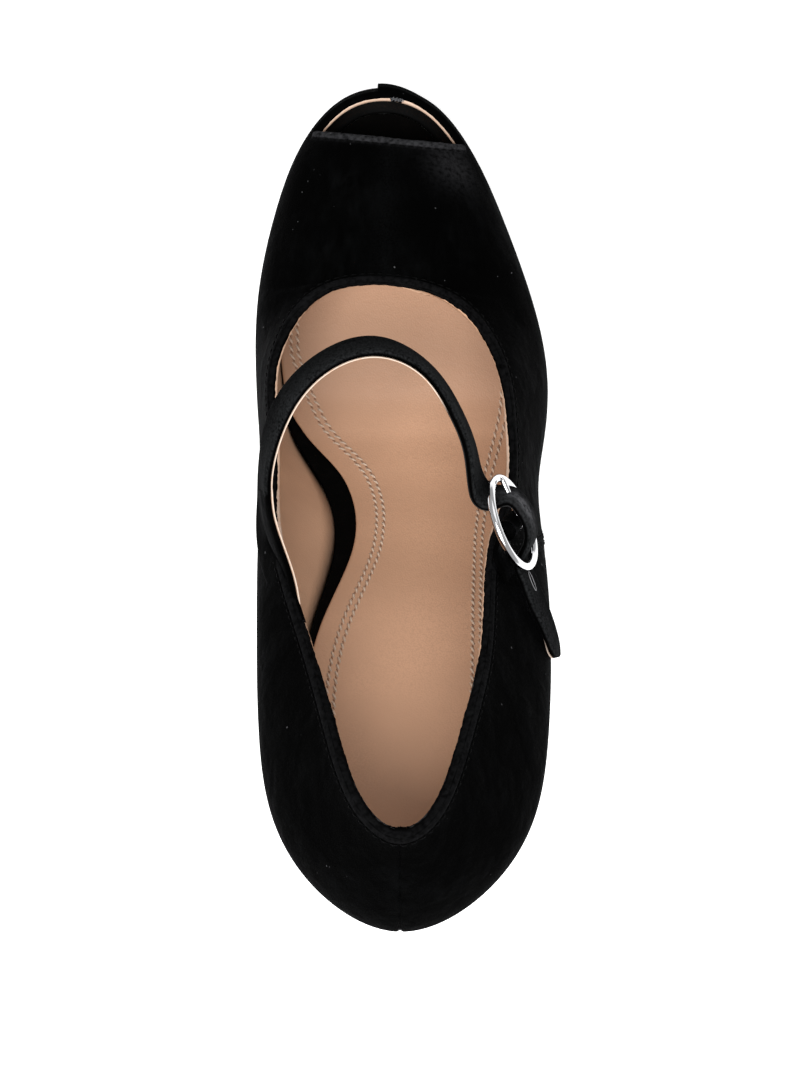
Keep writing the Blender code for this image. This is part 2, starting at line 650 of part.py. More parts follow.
def make_strap(finish):
    """Strap over the instep, through the buckle, with a rounded free end and a hole for the prong."""
    path, across = strap_path()
    left = np.linalg.norm(path - path[-1], axis=1)
    half = STRAP_WIDTH / 2
    tip = np.clip(left / half, TIP_BLUNT, 1.0)
    narrow = np.sqrt(1 - (1 - tip) ** 2)
    shrink = np.stack([narrow, np.ones_like(narrow)], axis=1)
    outline = band_outline(STRAP_WIDTH, STRAP_THICK)[None] * shrink[:, None]
    strap = add_sweep("strap", sweep(path, across, outline), finish)
    turn = np.linspace(0, 2 * math.pi, HOLE_SIDES, endpoint=False)
    oval = np.stack([HOLE_LENGTH / 2 * np.cos(turn), HOLE_WIDTH / 2 * np.sin(turn)], axis=1)
    oval[:, 0] += -RING_LONG / 2 + HOLE_FORWARD
    heights = (CUTTER_LOW, CUTTER_HIGH)
    rings = [in_buckle(np.column_stack([oval, np.full(HOLE_SIDES, h)])) for h in heights]
    cut_from(strap, add_sweep("strap_hole_cutter", np.stack(rings), finish))
    return strap


def make_buckle(finish):
    """Polished oval ring and the bar across its middle, in one piece."""
    turn = np.linspace(0, 2 * math.pi, RING_STATIONS, endpoint=False)
    ring = np.stack([RING_LONG * np.cos(turn), RING_ACROSS * np.sin(turn), np.zeros_like(turn)], axis=1)
    path = in_buckle(ring)
    normal = buckle_frame()[2]
    side = unit(path - BUCKLE_CENTRE)
    wire = np.linspace(0, 2 * math.pi, WIRE_SIDES, endpoint=False)
    rings = path[:, None] + RING_WIRE * (
        np.cos(wire)[None, :, None] * side[:, None] + np.sin(wire)[None, :, None] * normal
    )
    count, around = rings.shape[:2]
    number = np.arange(count * around).reshape(count, around)
    ahead = np.roll(number, -1, axis=0)
    quads = np.stack([number, ahead, np.roll(ahead, -1, axis=1), np.roll(number, -1, axis=1)], axis=-1)
    buckle = add_solid("buckle", rings.reshape(-1, 3), quads.reshape(-1, 4).tolist(), finish, 60)
    reach = RING_ACROSS - RING_WIRE / 5
    ends = in_buckle([(0, -reach, 0), (0, reach, 0)])
    round_bar = BAR_WIRE * np.stack([np.cos(wire), np.sin(wire)], axis=1)
    along = np.repeat(buckle_frame()[0][None], 2, axis=0)
    bar = add_sweep("buckle_bar_joined", sweep(ends, along, round_bar[None]), finish)
    bar.hide_render = True
    bar.display_type = "WIRE"
    joined = buckle.modifiers.new("bar", "BOOLEAN")
    joined.operation = "UNION"
    joined.object = bar
    return buckle


def make_prong(finish):
    """Prong hooked round the bar, through the strap, with its tip on the front of the ring."""
    hook = BAR_WIRE + GAP + PRONG_WIRE
    turn = np.radians(np.linspace(*PRONG_TURN, 9))
    curl = np.stack([hook * np.cos(turn), np.zeros_like(turn), hook * np.sin(turn)], axis=1)
    rest = RING_WIRE + GAP + PRONG_WIRE
    shaft = np.linspace(curl[-1], (-RING_LONG - PRONG_OVERHANG, 0, rest), 9)[1:]
    path = in_buckle(np.concatenate([curl, shaft]))
    wire = np.linspace(0, 2 * math.pi, PRONG_SIDES, endpoint=False)
    outline = PRONG_WIRE * np.stack([np.cos(wire), np.sin(wire)], axis=1)
    slim = np.concatenate([np.ones(len(path) - 1), [PRONG_TIP]])
    across = np.repeat(buckle_frame()[1][None], len(path), axis=0)
    return add_sweep("prong", sweep(path, across, outline[None] * slim[:, None, None]), finish)


def make_buckle_tab(finish):
    """Leather tab from the outer quarter that loops round the buckle's bar, slotted for the prong."""
    loop = BAR_WIRE + GAP + TAB_THICK / 2
    turn = np.radians(np.linspace(*TAB_TURN, 14))
    curl = np.stack([loop * np.cos(turn), np.zeros_like(turn), loop * np.sin(turn)], axis=1)
    lead = np.array([row[1:] for row in TAB_LEAD])
    path = in_buckle(np.concatenate([lead, curl]))
    across = np.repeat(buckle_frame()[1][None], len(path), axis=0)
    outline = band_outline(TAB_WIDTH, TAB_THICK)
    tab = add_sweep("buckle_tab", sweep(path, across, outline[None]), finish)
    slot = PRONG_WIRE + GAP + STRAP_EASE
    front, back = TAB_SLOT_FRONT, TAB_SLOT_BACK
    corners = np.array([(front, -slot), (back, -slot), (back, slot), (front, slot)])
    heights = (CUTTER_LOW, CUTTER_HIGH)
    rings = [in_buckle(np.column_stack([corners, np.full(4, h)])) for h in heights]
    cut_from(tab, add_sweep("tab_slot_cutter", np.stack(rings), finish))
    return tab


def main():
    for old in list(bpy.data.objects):
        bpy.data.objects.remove(old)
    velvet = material("black velvet", (0.006, 0.006, 0.006), 0.95)
    covered = material("black cover", (0.008, 0.008, 0.008), 0.9)
    tan = material("tan leather", (0.48, 0.26, 0.17), 0.55)
    sole_leather = material("black sole leather", (0.012, 0.011, 0.010), 0.5)
    rubber = material("black rubber", (0.015, 0.015, 0.015), 0.7)
    polished = material("polished silver metal", (0.8, 0.8, 0.8), 0.12, 1.0)
    make_upper(velvet)
    add_plate("outsole", bottom_edge(-OUTSOLE_WELT), 0.0, OUTSOLE_THICK, sole_leather,
              back=HEEL_BREAST_Y + BREAST_SETBACK)
    add_plate("insole", bottom_edge(INSOLE_CLEARANCE, True), FEATHER, INSOLE_TOP, covered)
    add_plate("sock", bottom_edge(SOCK_INSET, True), SOCK_BOTTOM, SOCK_TOP, tan,
              front=SOCK_FRONT_Y, bay=sock_bay)
    make_heel(velvet)
    make_top_lift(rubber)
    make_strap(velvet)
    make_buckle(polished)
    make_prong(polished)
    make_buckle_tab(velvet)


if __name__ == "__main__":
    main()
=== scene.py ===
"""Looks of a right-foot velvet pump with an open toe, an instep strap and a high block heel.

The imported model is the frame. Tables and shape functions work in millimetres in the frame's axes: +Y to
the toe, +X to the outer side, +Z up. MM turns them into metres where a mesh is made.
"""

import math

import bpy
import numpy as np
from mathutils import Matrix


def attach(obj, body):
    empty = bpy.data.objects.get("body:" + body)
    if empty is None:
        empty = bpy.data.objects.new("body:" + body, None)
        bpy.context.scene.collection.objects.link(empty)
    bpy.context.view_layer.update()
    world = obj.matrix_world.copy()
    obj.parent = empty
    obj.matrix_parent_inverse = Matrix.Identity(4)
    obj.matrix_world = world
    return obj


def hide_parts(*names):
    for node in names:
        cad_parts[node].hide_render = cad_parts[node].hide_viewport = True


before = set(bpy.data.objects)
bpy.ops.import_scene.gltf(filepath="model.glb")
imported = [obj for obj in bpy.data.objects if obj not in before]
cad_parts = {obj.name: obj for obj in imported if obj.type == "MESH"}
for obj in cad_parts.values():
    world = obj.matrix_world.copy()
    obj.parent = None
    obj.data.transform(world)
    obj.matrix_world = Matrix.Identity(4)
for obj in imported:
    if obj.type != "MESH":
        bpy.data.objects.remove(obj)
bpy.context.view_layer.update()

bl_info = {
    "name": "Velvet Pump",
    "version": (1, 0, 0),
    "blender": (4, 5, 0),
    "location": "View3D > Sidebar > Pump",
    "description": "Builds the velvet, leather and metal of an open-toe pump around its packed model",
    "category": "Object",
}

MM = 0.001
DOWN = np.array([0.0, 0.0, -1.0])
BACKWARD = np.array([0.0, -1.0, 0.0])

# Stage, in metres and pixels
PICTURE_HEIGHT = 1067
FLOOR_HALF = 3.0
KEY_PLACE = (-0.12, -0.42, 1.05)
KEY_SIZE = 0.7
FILL_PLACE = (0.3, 0.6, 1.0)
FILL_SIZE = 0.8
FILL_SHARE = 0.12
LIGHT_AIM = np.array([0.0, -0.03, 0.05])

# Fixed colours of threads, fibres, small marks and rubber
BLACK_THREAD = (0.0008, 0.0008, 0.0009)
TAN_THREAD = (0.5, 0.38, 0.29)
# Painted shade in the sock's needle holes, darker brown than the sock
NEEDLE_HOLE_SHADE = (0.22, 0.125, 0.08)
WORN_HOLE = (0.16, 0.16, 0.165)
FRAYED_PILE = (0.1, 0.1, 0.105)
LINT_COLOUR = (0.05, 0.05, 0.052)
# Painted sheen: the grey laid on the velvet where it catches the light
PAINTED_SHEEN_COLOUR = (0.075, 0.075, 0.08)
RUBBER_DARK = (0.008, 0.008, 0.008)
RUBBER_LIGHT = (0.02, 0.02, 0.02)

# Layers, heel, strap and buckle: lengths in millimetres, bends in degrees, the rest as shares
GAP = 0.3
WALL = 2.4
LAYER_SPACE = 0.02
OUTSOLE_THICK = 3.2
INSOLE_THICK = 2.4
INSOLE_CLEARANCE = 0.35
SOCK_THICK = 1.0
SOCK_INSET = 1.2
SOCK_ARCH_INSET = 5.8
SOCK_ARCH_Y = -29.0
SOCK_ARCH_FRONT = 14.0
SOCK_ARCH_BACK = 28.0
SOCK_FRONT_Y = 34.0
OUTSOLE_WELT = 0.6
OUTSOLE_ROUND = 0.7
SOCK_ROUND = 0.5
PLATE_TIP = 0.15
PLATE_END_EASE = 0.05
CROWN_EASE = 6.0
BREAST_SETBACK = 1.0
HEEL_BREAST_Y = -90.0
HEEL_TOP_INSET = 0.4
HEEL_DRAW_EVEN = 0.3
HEEL_DRAW_POWER = 2.4
HEEL_BEVEL = 0.8
LIFT_THICK = 6.0
LIFT_HALF_WIDTH = 18.5
LIFT_FRONT_Y = -91.0
LIFT_BACK_Y = -124.0
LIFT_CENTRE_X = 1.0
LIFT_BACK_ROUND = 0.995
LIFT_BEVEL = 0.5
LAP_STEP = 1.2
LAP_X = -6.0
LAP_EASE = 13.0
LAP_FRONT_Y = 70.0
LAP_INSIDE_X = 1.1
LAP_CLEAR = 0.4
LAP_HALF_STEP = 0.08
STRAP_WIDTH = 8.6
STRAP_THICK = 2.0
STRAP_TIP_BLUNT = 0.04
STRAP_TURN_EASE = 0.02
RING_LONG = 11.4
RING_ACROSS = 10.6
RING_WIRE = 1.0
BAR_WIRE = 0.8
BAR_IN_RING = 0.2
BAR_SLEEVE = 1.75
BAR_SLEEVE_HALF = 6.6
PRONG_WIRE = 0.75
PRONG_OVERHANG = 0.3
PRONG_BEND = (-70, 90)
PRONG_TIP = 0.97
TAB_THICK = 1.2
TAB_WIDTH = 13.0
TAB_RAISE = 2.8
TAB_BEND = (-80, -330)
FEATHER = OUTSOLE_THICK + GAP
INSOLE_TOP = FEATHER + INSOLE_THICK
SOCK_BOTTOM = INSOLE_TOP + GAP
SOCK_TOP = SOCK_BOTTOM + SOCK_THICK

# Shape of one stitch, as shares of its thread
STITCH_END = 0.35
STITCH_ARCH = 0.9
STITCH_DIP = 0.5

# Shape of the ribs, and the steps that find the wall's slopes
VAMP_SLANT = 0.1
VAMP_RAKE = 0.18
KNEE = 0.45
LEAST_SLOPE = 0.6
UPRIGHT_SHARE = 0.28
UPRIGHT_VAULT_SHARE = 0.27
VAULT_LEVEL_SHARE = 0.55
COLLAR_STRAIGHT_SHARE = 0.4
SLOPE_STEP = 0.5
SLOPE_RISE = 0.04
SLOPE_INSET = 0.6
SLOPE_LOWEST = 0.05
SLOPE_HIGHEST = 1.93

# Heights on the wall: 0 at the bottom edge, 1 at the widest line, 2 at the top edge
RIM_HEIGHT = 1.0 + 2.0 / 9.0
TOP_HEIGHT = 2.0
COLLAR_NORMAL_HEIGHT = 1.86
RIM_NORMAL_DROP = 0.06
RIM_EDGE_BAND = 0.01
RAW_EDGE_FROM = 1.985
DARK_EDGE_FROM = 1.955
SEAM_LOW_HEIGHT = 0.03
STRAP_ROOT_HEIGHT = 1.9

# Sunk back seam, and soft dents and swells of the wall
BACK_SEAM_DEPTH = 0.45
BACK_SEAM_REACH = 0.45
BACK_SEAM_CLEAR = 2.0
BACK_SEAM_STEPS = np.array([-1.6, -1.1, -0.7, -0.4, -0.15, 0.15, 0.4, 0.7, 1.1, 1.6])
WALL_DENTS = [
    # place, rib, way past the rib, out from the wall, height, reach along, reach up
    ("inner vamp", "inner throat", 4.0, -0.28, 1.55, 5.0, 0.22),
    ("outer vamp", "all round", -6.0, -0.3, 1.5, 5.0, 0.2),
    ("inner waist", "inner waist front", 0.0, -0.4, 1.45, 6.0, 0.35),
    ("outer waist", "outer waist", -4.0, -0.4, 1.5, 6.0, 0.35),
    ("ball", "outer ball", 0.0, 0.25, 1.25, 16.0, 0.3),
]
LINING_SWELL = 1.6

# Height, reach along and reach up of soft patches on the wall
LINING_SWELL_PLACE = (0.3, 8.0, 0.6)
NAP_COUNTER_PLACE = (1.3, 18.0, 0.6)
CORNER_GLEAM_PLACE = (1.5, 7.0, 0.2)

# Brushed pile and painted sheen of the upper, as shares
NAP_EDGE = 0.55
NAP_EDGE_FROM = 1.8
NAP_EDGE_REACH = 0.2
NAP_COUNTER = 0.12
# Painted sheen low on the sides of the upper
LOW_PAINTED_SHEEN = 0.15
LOW_PAINTED_SHEEN_TO = 0.9
PEEP_GLEAM = 0.25
PEEP_GLEAM_REACH = 3.2
CORNER_GLEAM = 0.12
CORNER_GLEAM_PAST = 7.0
ROLL_GLEAM = 0.04
ROLL_GLEAM_TO = -1.4

SOLE_LINE = [
    # place, y, z
    ("toe", 84.0, 9.0),
    ("toe spring", 60.0, 3.8),
    ("tread front", 26.0, 0.0),
    ("tread back", -5.0, 0.0),
    ("waist front", -17.0, 2.2),
    ("shank low", -30.0, 9.6),
    ("shank middle", -48.0, 26.2),
    ("shank high", -70.0, 50.5),
    ("breast", -90.0, 68.5),
    ("seat", -110.0, 81.0),
    ("heel end", -140.0, 92.5),
]

RIBS = [
    # name, x, y, tuck, belly
    ("outer throat", 36.2, 20.0, 3.0, 10.0),
    ("outer throat side", 38.7, 9.6, 3.0, 10.5),
    ("outer ball", 40.0, -3.0, 3.2, 11.0),
    ("outer waist front", 38.9, -17.0, 3.6, 13.0),
    ("outer waist", 36.8, -31.0, 4.4, 14.0),
    ("outer arch", 37.4, -48.0, 6.0, 13.5),
    ("outer quarter", 37.7, -66.0, 6.4, 11.5),
    ("outer seat", 36.0, -90.0, 6.0, 11.0),
    ("outer heel", 31.0, -112.0, 4.6, 11.0),
    ("outer back", 18.0, -128.4, 3.2, 10.0),
    ("back seam", 0.0, -135.6, 2.4, 9.0),
    ("inner back", -17.0, -128.4, 3.2, 10.0),
    ("inner heel", -29.4, -112.0, 4.8, 11.0),
    ("inner seat", -33.9, -90.0, 6.0, 15.0),
    ("inner quarter", -35.2, -66.0, 9.8, 23.0),
    ("inner arch", -35.9, -48.0, 14.8, 29.0),
    ("inner waist", -36.6, -31.0, 11.8, 25.0),
    ("inner waist front", -37.8, -17.0, 5.4, 17.0),
    ("inner ball", -38.9, -3.0, 3.8, 12.0),
    ("inner throat side", -39.3, 10.0, 3.2, 10.5),
    ("inner throat", -38.5, 23.0, 3.0, 10.0),
    ("inner vamp", -33.6, 45.6, 2.8, 9.0),
    ("inner corner", -24.2, 66.3, 2.6, 8.5),
    ("inner toe", -14.4, 75.2, 2.5, 8.0),
    ("toe", -4.4, 77.5, 2.5, 8.0),
    ("outer toe", 6.6, 74.8, 2.5, 8.0),
    ("outer corner", 18.4, 62.5, 2.6, 8.5),
    ("outer vamp", 28.8, 41.0, 2.8, 9.0),
]

TOPLINE = [
    # rib, x, y, z, dome
    ("outer throat", -4.2, 22.5, 39.0, 1.0),
    ("outer throat side", 13.8, 18.0, 38.6, 0.72),
    ("outer ball", 26.0, 2.6, 44.2, 0.45),
    ("outer waist front", 29.0, -15.0, 52.4, 0.3),
    ("outer waist", 28.6, -30.0, 61.5, 0.25),
    ("outer arch", 23.2, -45.5, 79.0, 0.2),
    ("outer quarter", 21.0, -65.0, 97.5, 0.15),
    ("outer seat", 16.6, -84.0, 114.5, 0.15),
    ("outer heel", 11.6, -98.4, 127.5, 0.1),
    ("outer back", 6.4, -106.6, 134.0, 0.1),
    ("back seam", 0.0, -109.6, 136.0, 0.1),
    ("inner back", -6.2, -106.8, 134.0, 0.1),
    ("inner heel", -12.0, -98.6, 127.5, 0.1),
    ("inner seat", -17.0, -84.0, 114.5, 0.15),
    ("inner quarter", -23.2, -66.0, 96.0, 0.25),
    ("inner arch", -30.2, -46.5, 77.5, 0.3),
    ("inner waist", -32.5, -31.0, 62.5, 0.3),
    ("inner waist front", -33.2, -15.5, 53.0, 0.35),
    ("inner ball", -33.1, 2.4, 44.6, 0.45),
    ("inner throat side", -23.3, 18.4, 38.4, 0.72),
]

RIDGE = [
    # place, x, y, z
    ("throat", -4.2, 22.5, 39.0),
    ("middle", -3.6, 43.0, 35.2),
    ("front edge", -3.0, 62.3, 28.5),
]

STRAP_ARCH = [
    # place, x, y, z, across x, across y, across z
    ("leaving the quarter", -32.9, -36.6, 75.8, 0.38, -0.42, 0.82),
    ("inner side", -32.7, -30.0, 82.4, 0.26, -0.5, 0.82),
    ("inner shoulder", -29.6, -16.6, 90.0, 0.36, -0.5, 0.78),
    ("inner crown", -20.4, -4.4, 95.4, 0.22, -0.52, 0.82),
    ("crown", -6.0, 1.0, 97.5, 0.0, -0.52, 0.85),
    ("outer crown", 6.0, -4.1, 94.8, -0.1, -0.3, 0.95),
    ("outer shoulder", 13.4, -14.4, 90.0, -0.14, -0.3, 0.94),
    ("outer side", 17.2, -24.6, 85.6, -0.18, -0.38, 0.86),
]
STRAP_THROUGH = [
    # place, along, across, outward from the buckle's middle
    ("under the ring's front", -8.2, 1.4, -2.4),
    ("rising", -6.2, 0.3, 2.5),
    ("crest", -2.6, 0.1, 3.9),
    ("over the bar", 1.0, 0.0, 4.1),
    ("falling", 6.2, 0.0, 1.6),
    ("under the ring's back", 10.4, 0.0, -2.4),
    ("behind the ring", 12.9, 0.0, -2.4),
]
STRAP_ENTRY_ACROSS = np.array([-0.25, -0.75, 0.6])
STRAP_TAIL = [
    # place, x, y, z, across x, across y, across z
    ("tail start", 32.4, -57.3, 76.0, -0.42, -0.2, 0.88),
    ("tail middle", 35.9, -65.4, 74.8, -0.38, -0.05, 0.92),
    ("tail end", 38.5, -73.2, 73.0, -0.26, 0.0, 0.96),
]
BUCKLE_CENTRE = np.array([27.4, -40.3, 79.3])
BUCKLE_ALONG = np.array([0.3995, -0.897, -0.192])
BUCKLE_ACROSS = np.array([-0.302, -0.313, 0.901])

# Rolled edge seen end on, from the outer face over the edge to the inner face
ROLL_PROFILE = np.array([
    # down from the edge, out from the wall
    (1.9, -0.6), (1.82, 0.0), (1.6, 0.14), (1.25, 0.24), (0.85, 0.28), (0.45, 0.22), (0.12, 0.05),
    (-0.14, -0.3), (-0.28, -0.8), (-0.32, -1.3), (-0.24, -1.8), (0.02, -2.25), (0.5, -2.6),
    (1.4, -2.75), (1.7, -2.6), (1.8, -1.9),
])

# Rolled edges: their stitch row, uneven crest and raw lining
EDGE_ROW = 2.3
EDGE_ROW_LIFT = 0.12
EDGE_FUZZ = 0.05
EDGE_FUZZ_REACH = 0.6
EDGE_FUZZ_WAVES = ((2.7, 0.0), (1.13, 1.0), (0.47, 2.0))
RAW_FROM = 0.9
RAW_OVER = 1.6
RAW_DRAW = 1.25
RAW_FRAY = 0.16
RAW_FRAY_PACE = 1.9
RAW_FRAY_DRIFT = 0.37
RAW_FRAY_FINE = 0.1
RAW_FRAY_FINE_PACE = 4.3
DARK_EDGE_BELOW = -0.05
PEEP_NORMAL_BACK = 1.0

# Toe rim, and the loose fibres at its lap
TOE_RAW = 0.6
TOE_RIM_RAW = 0.78
RIM_PAST_CORNER = 0.6
RIM_PAST_LAP = 0.02
RIM_MIDDLE_X = -3.7
RIM_HALF = 17.6
RIM_TAPER = 0.35
FRAY_FROM_X = -2.4
FRAY_SHIFT = np.array([0.0, -1.35, 0.3])
FRAY_WAVE = 0.35
FRAY_TURNS = 7.0
FRAY_PHASES = (0.0, 2.0)
FRAY_PITCH = 0.55
FRAY_WIRE = 0.07
FRAY_SHARE = 1.5
FRAY_SLANT = 0.5

# Raw share of the rolled edge by rib: cut back to show the lining, or drawn in over it where negative
RAW_EDGE_PLAN = [
    # rib, raw
    ("outer throat", 0.0),
    ("outer throat side", 0.0),
    ("outer ball", 0.0),
    ("outer waist front", 0.4),
    ("outer waist", 0.6),
    ("outer arch", 0.12),
    ("outer quarter", 0.12),
    ("outer seat", -0.35),
    ("outer heel", -0.2),
    ("outer back", -0.1),
    ("back seam", -0.9),
    ("inner back", -0.1),
    ("inner heel", -0.2),
    ("inner seat", -0.35),
    ("inner quarter", 0.1),
    ("inner arch", 1.0),
    ("inner waist", 0.35),
    ("inner waist front", 0.4),
    ("inner ball", 0.3),
    ("inner throat side", 0.0),
]

# Way of the strap out of the inner quarter, measured from the collar's edge
STRAP_ROOT = [
    # place, y, down from the edge, out from the wall
    ("lost in the quarter", -66.0, 5.2, -1.8),
    ("sinking", -58.0, 5.0, -1.5),
    ("on the quarter", -51.0, 4.9, -0.8),
    ("junction", -45.0, 4.8, 0.4),
]

# Edge of the wing between the inner quarter's topline and the strap, in the middle of its thickness
WING_EDGE = [
    # place, x, y, z
    ("topline", -24.8, -60.0, 89.4),
    ("back", -26.0, -54.4, 86.6),
    ("turn back", -27.9, -48.8, 84.3),
    ("turn", -29.9, -43.4, 82.8),
    ("turn front", -31.3, -38.2, 82.9),
    ("strap", -31.7, -32.4, 85.4),
]
WING_DROP = np.array([-2.3, 0.0, -8.6])
WING_OUT = 0.75
WING_PROFILE = np.array([
    # share of the way to the foot, share of the thickness
    (1.0, 0.0), (0.6, 0.0), (0.3, 0.0), (0.1, 0.04), (0.02, 0.2),
    (0.0, 0.5), (0.02, 0.8), (0.1, 1.0), (0.5, 1.0), (1.0, 1.0),
])
WING_VELVET = 1.5
WING_LINING = 0.5
WING_LINING_RISE = 0.01
WING_CUT_SHARE = 0.05

# Strap's backing along the strap: its width as a share of the strap's, and how black it is drawn; past the
# buckle the black is painted shade on the tan backing
STRAP_BACKING = [
    # place, share, width, black
    ("root", 0.0, 0.8, 0.0),
    ("leaving the quarter", 0.215, 0.8, 0.0),
    ("free", 0.232, 0.955, 0.0),
    ("before the buckle", 0.585, 0.955, 0.0),
    ("at the buckle", 0.615, 0.9, 1.0),
    ("behind the bar", 0.77, 0.9, 1.0),
    ("behind the ring", 0.81, 0.62, 1.0),
    ("tail", 0.965, 0.62, 1.0),
    ("round of the tail", 0.985, 0.97, 0.4),
    ("tip", 1.0, 1.0, 0.0),
]
BACKING_SHIFT = 0.03

# Painted sheen of the strap's face, and its painted sheen band beside the buckle
STRAP_PAINTED_SHEEN = 0.6
STRAP_PAINTED_SHEEN_SIDE = 0.6
STRAP_PAINTED_SHEEN_FROM = 0.14
STRAP_PAINTED_SHEEN_FULL = 0.3
STRAP_FACE_FROM = 0.3
GLEAM_SPOT = (-3.0, 0.0, 3.6)
GLEAM_REACH = 5.0
GLEAM_ACROSS = 0.6
GLEAM_WIDTH = 2.2
GLEAM_STRENGTH = 0.95

# Spare hole of the strap
STRAP_HOLE_ALONG = 15.4
STRAP_HOLE_LONG = 2.5
STRAP_HOLE_WIDE = 0.75
STRAP_HOLE_WIRE = 0.1
STRAP_HOLE_LIFT = 0.05

# Way of the tab from the outer quarter to the buckle's bar
TAB_LEAD = [
    # place, along, across, outward from the buckle's middle
    ("on the quarter", 11.5, 0.0, -4.6),
    ("leaving the quarter", 9.4, 0.0, -4.3),
    ("under the strap", 6.6, 0.0, -4.5),
    ("at the bar", 3.6, 0.0, -3.9),
]

# Distance of the sock's outer stitch row from the sock's edge, on both sides
SOCK_ROWS = [
    # place, y, inner, outer
    ("heel", -130.0, 5.2, 5.6),
    ("shank", -62.0, 5.3, 6.0),
    ("arch", -43.0, 5.3, 5.4),
    ("waist", -24.0, 6.5, 3.6),
    ("waist front", -10.0, 5.6, 3.0),
    ("ball", 6.0, 2.0, 2.6),
    ("front", 34.0, 1.5, 2.0),
]

# Stitch rows, padding and side of the sock, and the painted shade over its ball
SOCK_ROW_BLEND = 20.0
SOCK_ROW_END = 4.0
SOCK_ROW_CROWN = 0.8
SOCK_ROW_LIFT = 0.06
SOCK_SWELLS = [
    # place, x, y, rise, reach in x, reach in y
    ("ball", -2.0, 4.0, 0.5, 20.0, 24.0),
    ("heel", 0.0, -104.0, 0.4, 16.0, 18.0),
]
OUTLINE_POINTS = 2000
SOCK_WALL_Y = -14.0
SOCK_WALL_EASE = 7.0
SOCK_WALL_REACH = 1.1
SOCK_STITCH_PITCH = 2.3
SOCK_STITCH_WIRE = 0.34
SOCK_STITCH_SHARE = 0.95
SOCK_STITCH_SLANT = 0.5
NEEDLE_HOLE_WIRE = 0.18
NEEDLE_HOLE_SHARE = 0.46
# Painted shade over the sock's ball: how dark, where along the shoe and how far it reaches
BALL_PAINTED_SHADE = 0.7
BALL_PAINTED_SHADE_Y = 6.0
BALL_PAINTED_SHADE_REACH = 20.0

# Round the throat the wall's normals are drawn to one direction
THROAT_NORMAL = np.array([0.0, 0.15, 0.99])
THROAT_REACH = 14.0

# Front edges of the quarter panels: y of the upper and lower end on the widest line
QUARTER_SEAMS = [
    # name, first rib, last rib, upper y, lower y, upper height, way back along the stations
    ("inner", "back seam", "inner throat", -40.0, -26.0, 1.9, -1.0),
    ("outer", "outer throat side", "back seam", -47.0, -33.0, 1.97, 1.0),
]
SEAM_PROFILE = np.array([
    # behind the seam, out from the wall
    (0.0, -0.4), (0.0, 0.08), (0.25, 0.15), (1.0, 0.15), (2.5, 0.12), (4.5, 0.06), (7.0, -0.05),
    (3.5, -0.5),
])
SEAM_ROWS = (1.3, 2.9)
SEAM_ROW_LIFT = 0.13
SEAM_BOW = 2.0


class PumpSizes(bpy.types.PropertyGroup):
    """Sizes of the sewn details."""

    velvet_thick: bpy.props.FloatProperty(
        name="Velvet", description="Thickness of velvet and backing, the outer layer of the wall",
        default=0.0013, unit="LENGTH")
    stitch_pitch: bpy.props.FloatProperty(
        name="Stitch pitch", description="Distance from one stitch to the next",
        default=0.0023, unit="LENGTH")
    stitch_wire: bpy.props.FloatProperty(
        name="Thread", description="Half the thickness of the sewing thread", default=0.00021, unit="LENGTH")
    sock_row_step: bpy.props.FloatProperty(
        name="Sock row step", description="Distance between the two stitch rows of the sock",
        default=0.0019, unit="LENGTH")
    backing_thick: bpy.props.FloatProperty(
        name="Strap backing", description="Thickness of the leather under the strap",
        default=0.0003, unit="LENGTH")


class PumpColours(bpy.types.PropertyGroup):
    """Colours of the finishes."""

    velvet: bpy.props.FloatVectorProperty(
        name="Velvet", description="Colour deep in the pile",
        default=(0.0003, 0.0003, 0.0003), subtype="COLOR")
    velvet_brushed: bpy.props.FloatVectorProperty(
        name="Brushed velvet", description="Colour where the pile is brushed towards the light",
        default=(0.0019, 0.002, 0.0021), subtype="COLOR")
    sock: bpy.props.FloatVectorProperty(
        name="Sock", description="Tan leather of the sock", default=(0.47, 0.272, 0.168), subtype="COLOR")
    lining: bpy.props.FloatVectorProperty(
        name="Lining", description="Tan leather inside the upper", default=(0.5, 0.3, 0.19), subtype="COLOR")
    raw_edge: bpy.props.FloatVectorProperty(
        name="Raw edge", description="Cut edge of lining and strap backing",
        default=(0.5, 0.4, 0.325), subtype="COLOR")
    black_leather: bpy.props.FloatVectorProperty(
        name="Black leather", description="Insole and outsole",
        default=(0.001, 0.0009, 0.0008), subtype="COLOR")
    metal: bpy.props.FloatVectorProperty(
        name="Metal", description="Polished ring and prong", default=(0.52, 0.52, 0.53), subtype="COLOR")
    floor: bpy.props.FloatVectorProperty(
        name="Floor", description="Plain studio floor", default=(0.93, 0.93, 0.93), subtype="COLOR")


class PumpStage(bpy.types.PropertyGroup):
    """Camera and light."""

    camera_height: bpy.props.FloatProperty(
        name="Camera height", description="Height of the camera over the floor",
        default=0.626, unit="LENGTH")
    camera_y: bpy.props.FloatProperty(
        name="Camera place", description="Place of the camera along the shoe", default=-0.043, unit="LENGTH")
    focal_pixels: bpy.props.FloatProperty(
        name="Focal length", description="Focal length in pixels of the picture", default=2247.6)
    key_power: bpy.props.FloatProperty(
        name="Key light", description="Power of the large soft light", default=24.0, unit="POWER")
    sky_strength: bpy.props.FloatProperty(
        name="Surround", description="Strength of the white surround", default=0.65)


class PumpSettings(bpy.types.PropertyGroup):
    """All settings of the pump."""

    sizes: bpy.props.PointerProperty(type=PumpSizes)
    colours: bpy.props.PointerProperty(type=PumpColours)
    stage: bpy.props.PointerProperty(type=PumpStage)


def column(rows, index):
    """One column of a table as an array."""
    return np.array([row[index] for row in rows], float)


def numbers(rows):
    """All the numbers of a table as an array, without the names in its first column."""
    return np.array([row[1:] for row in rows], float)


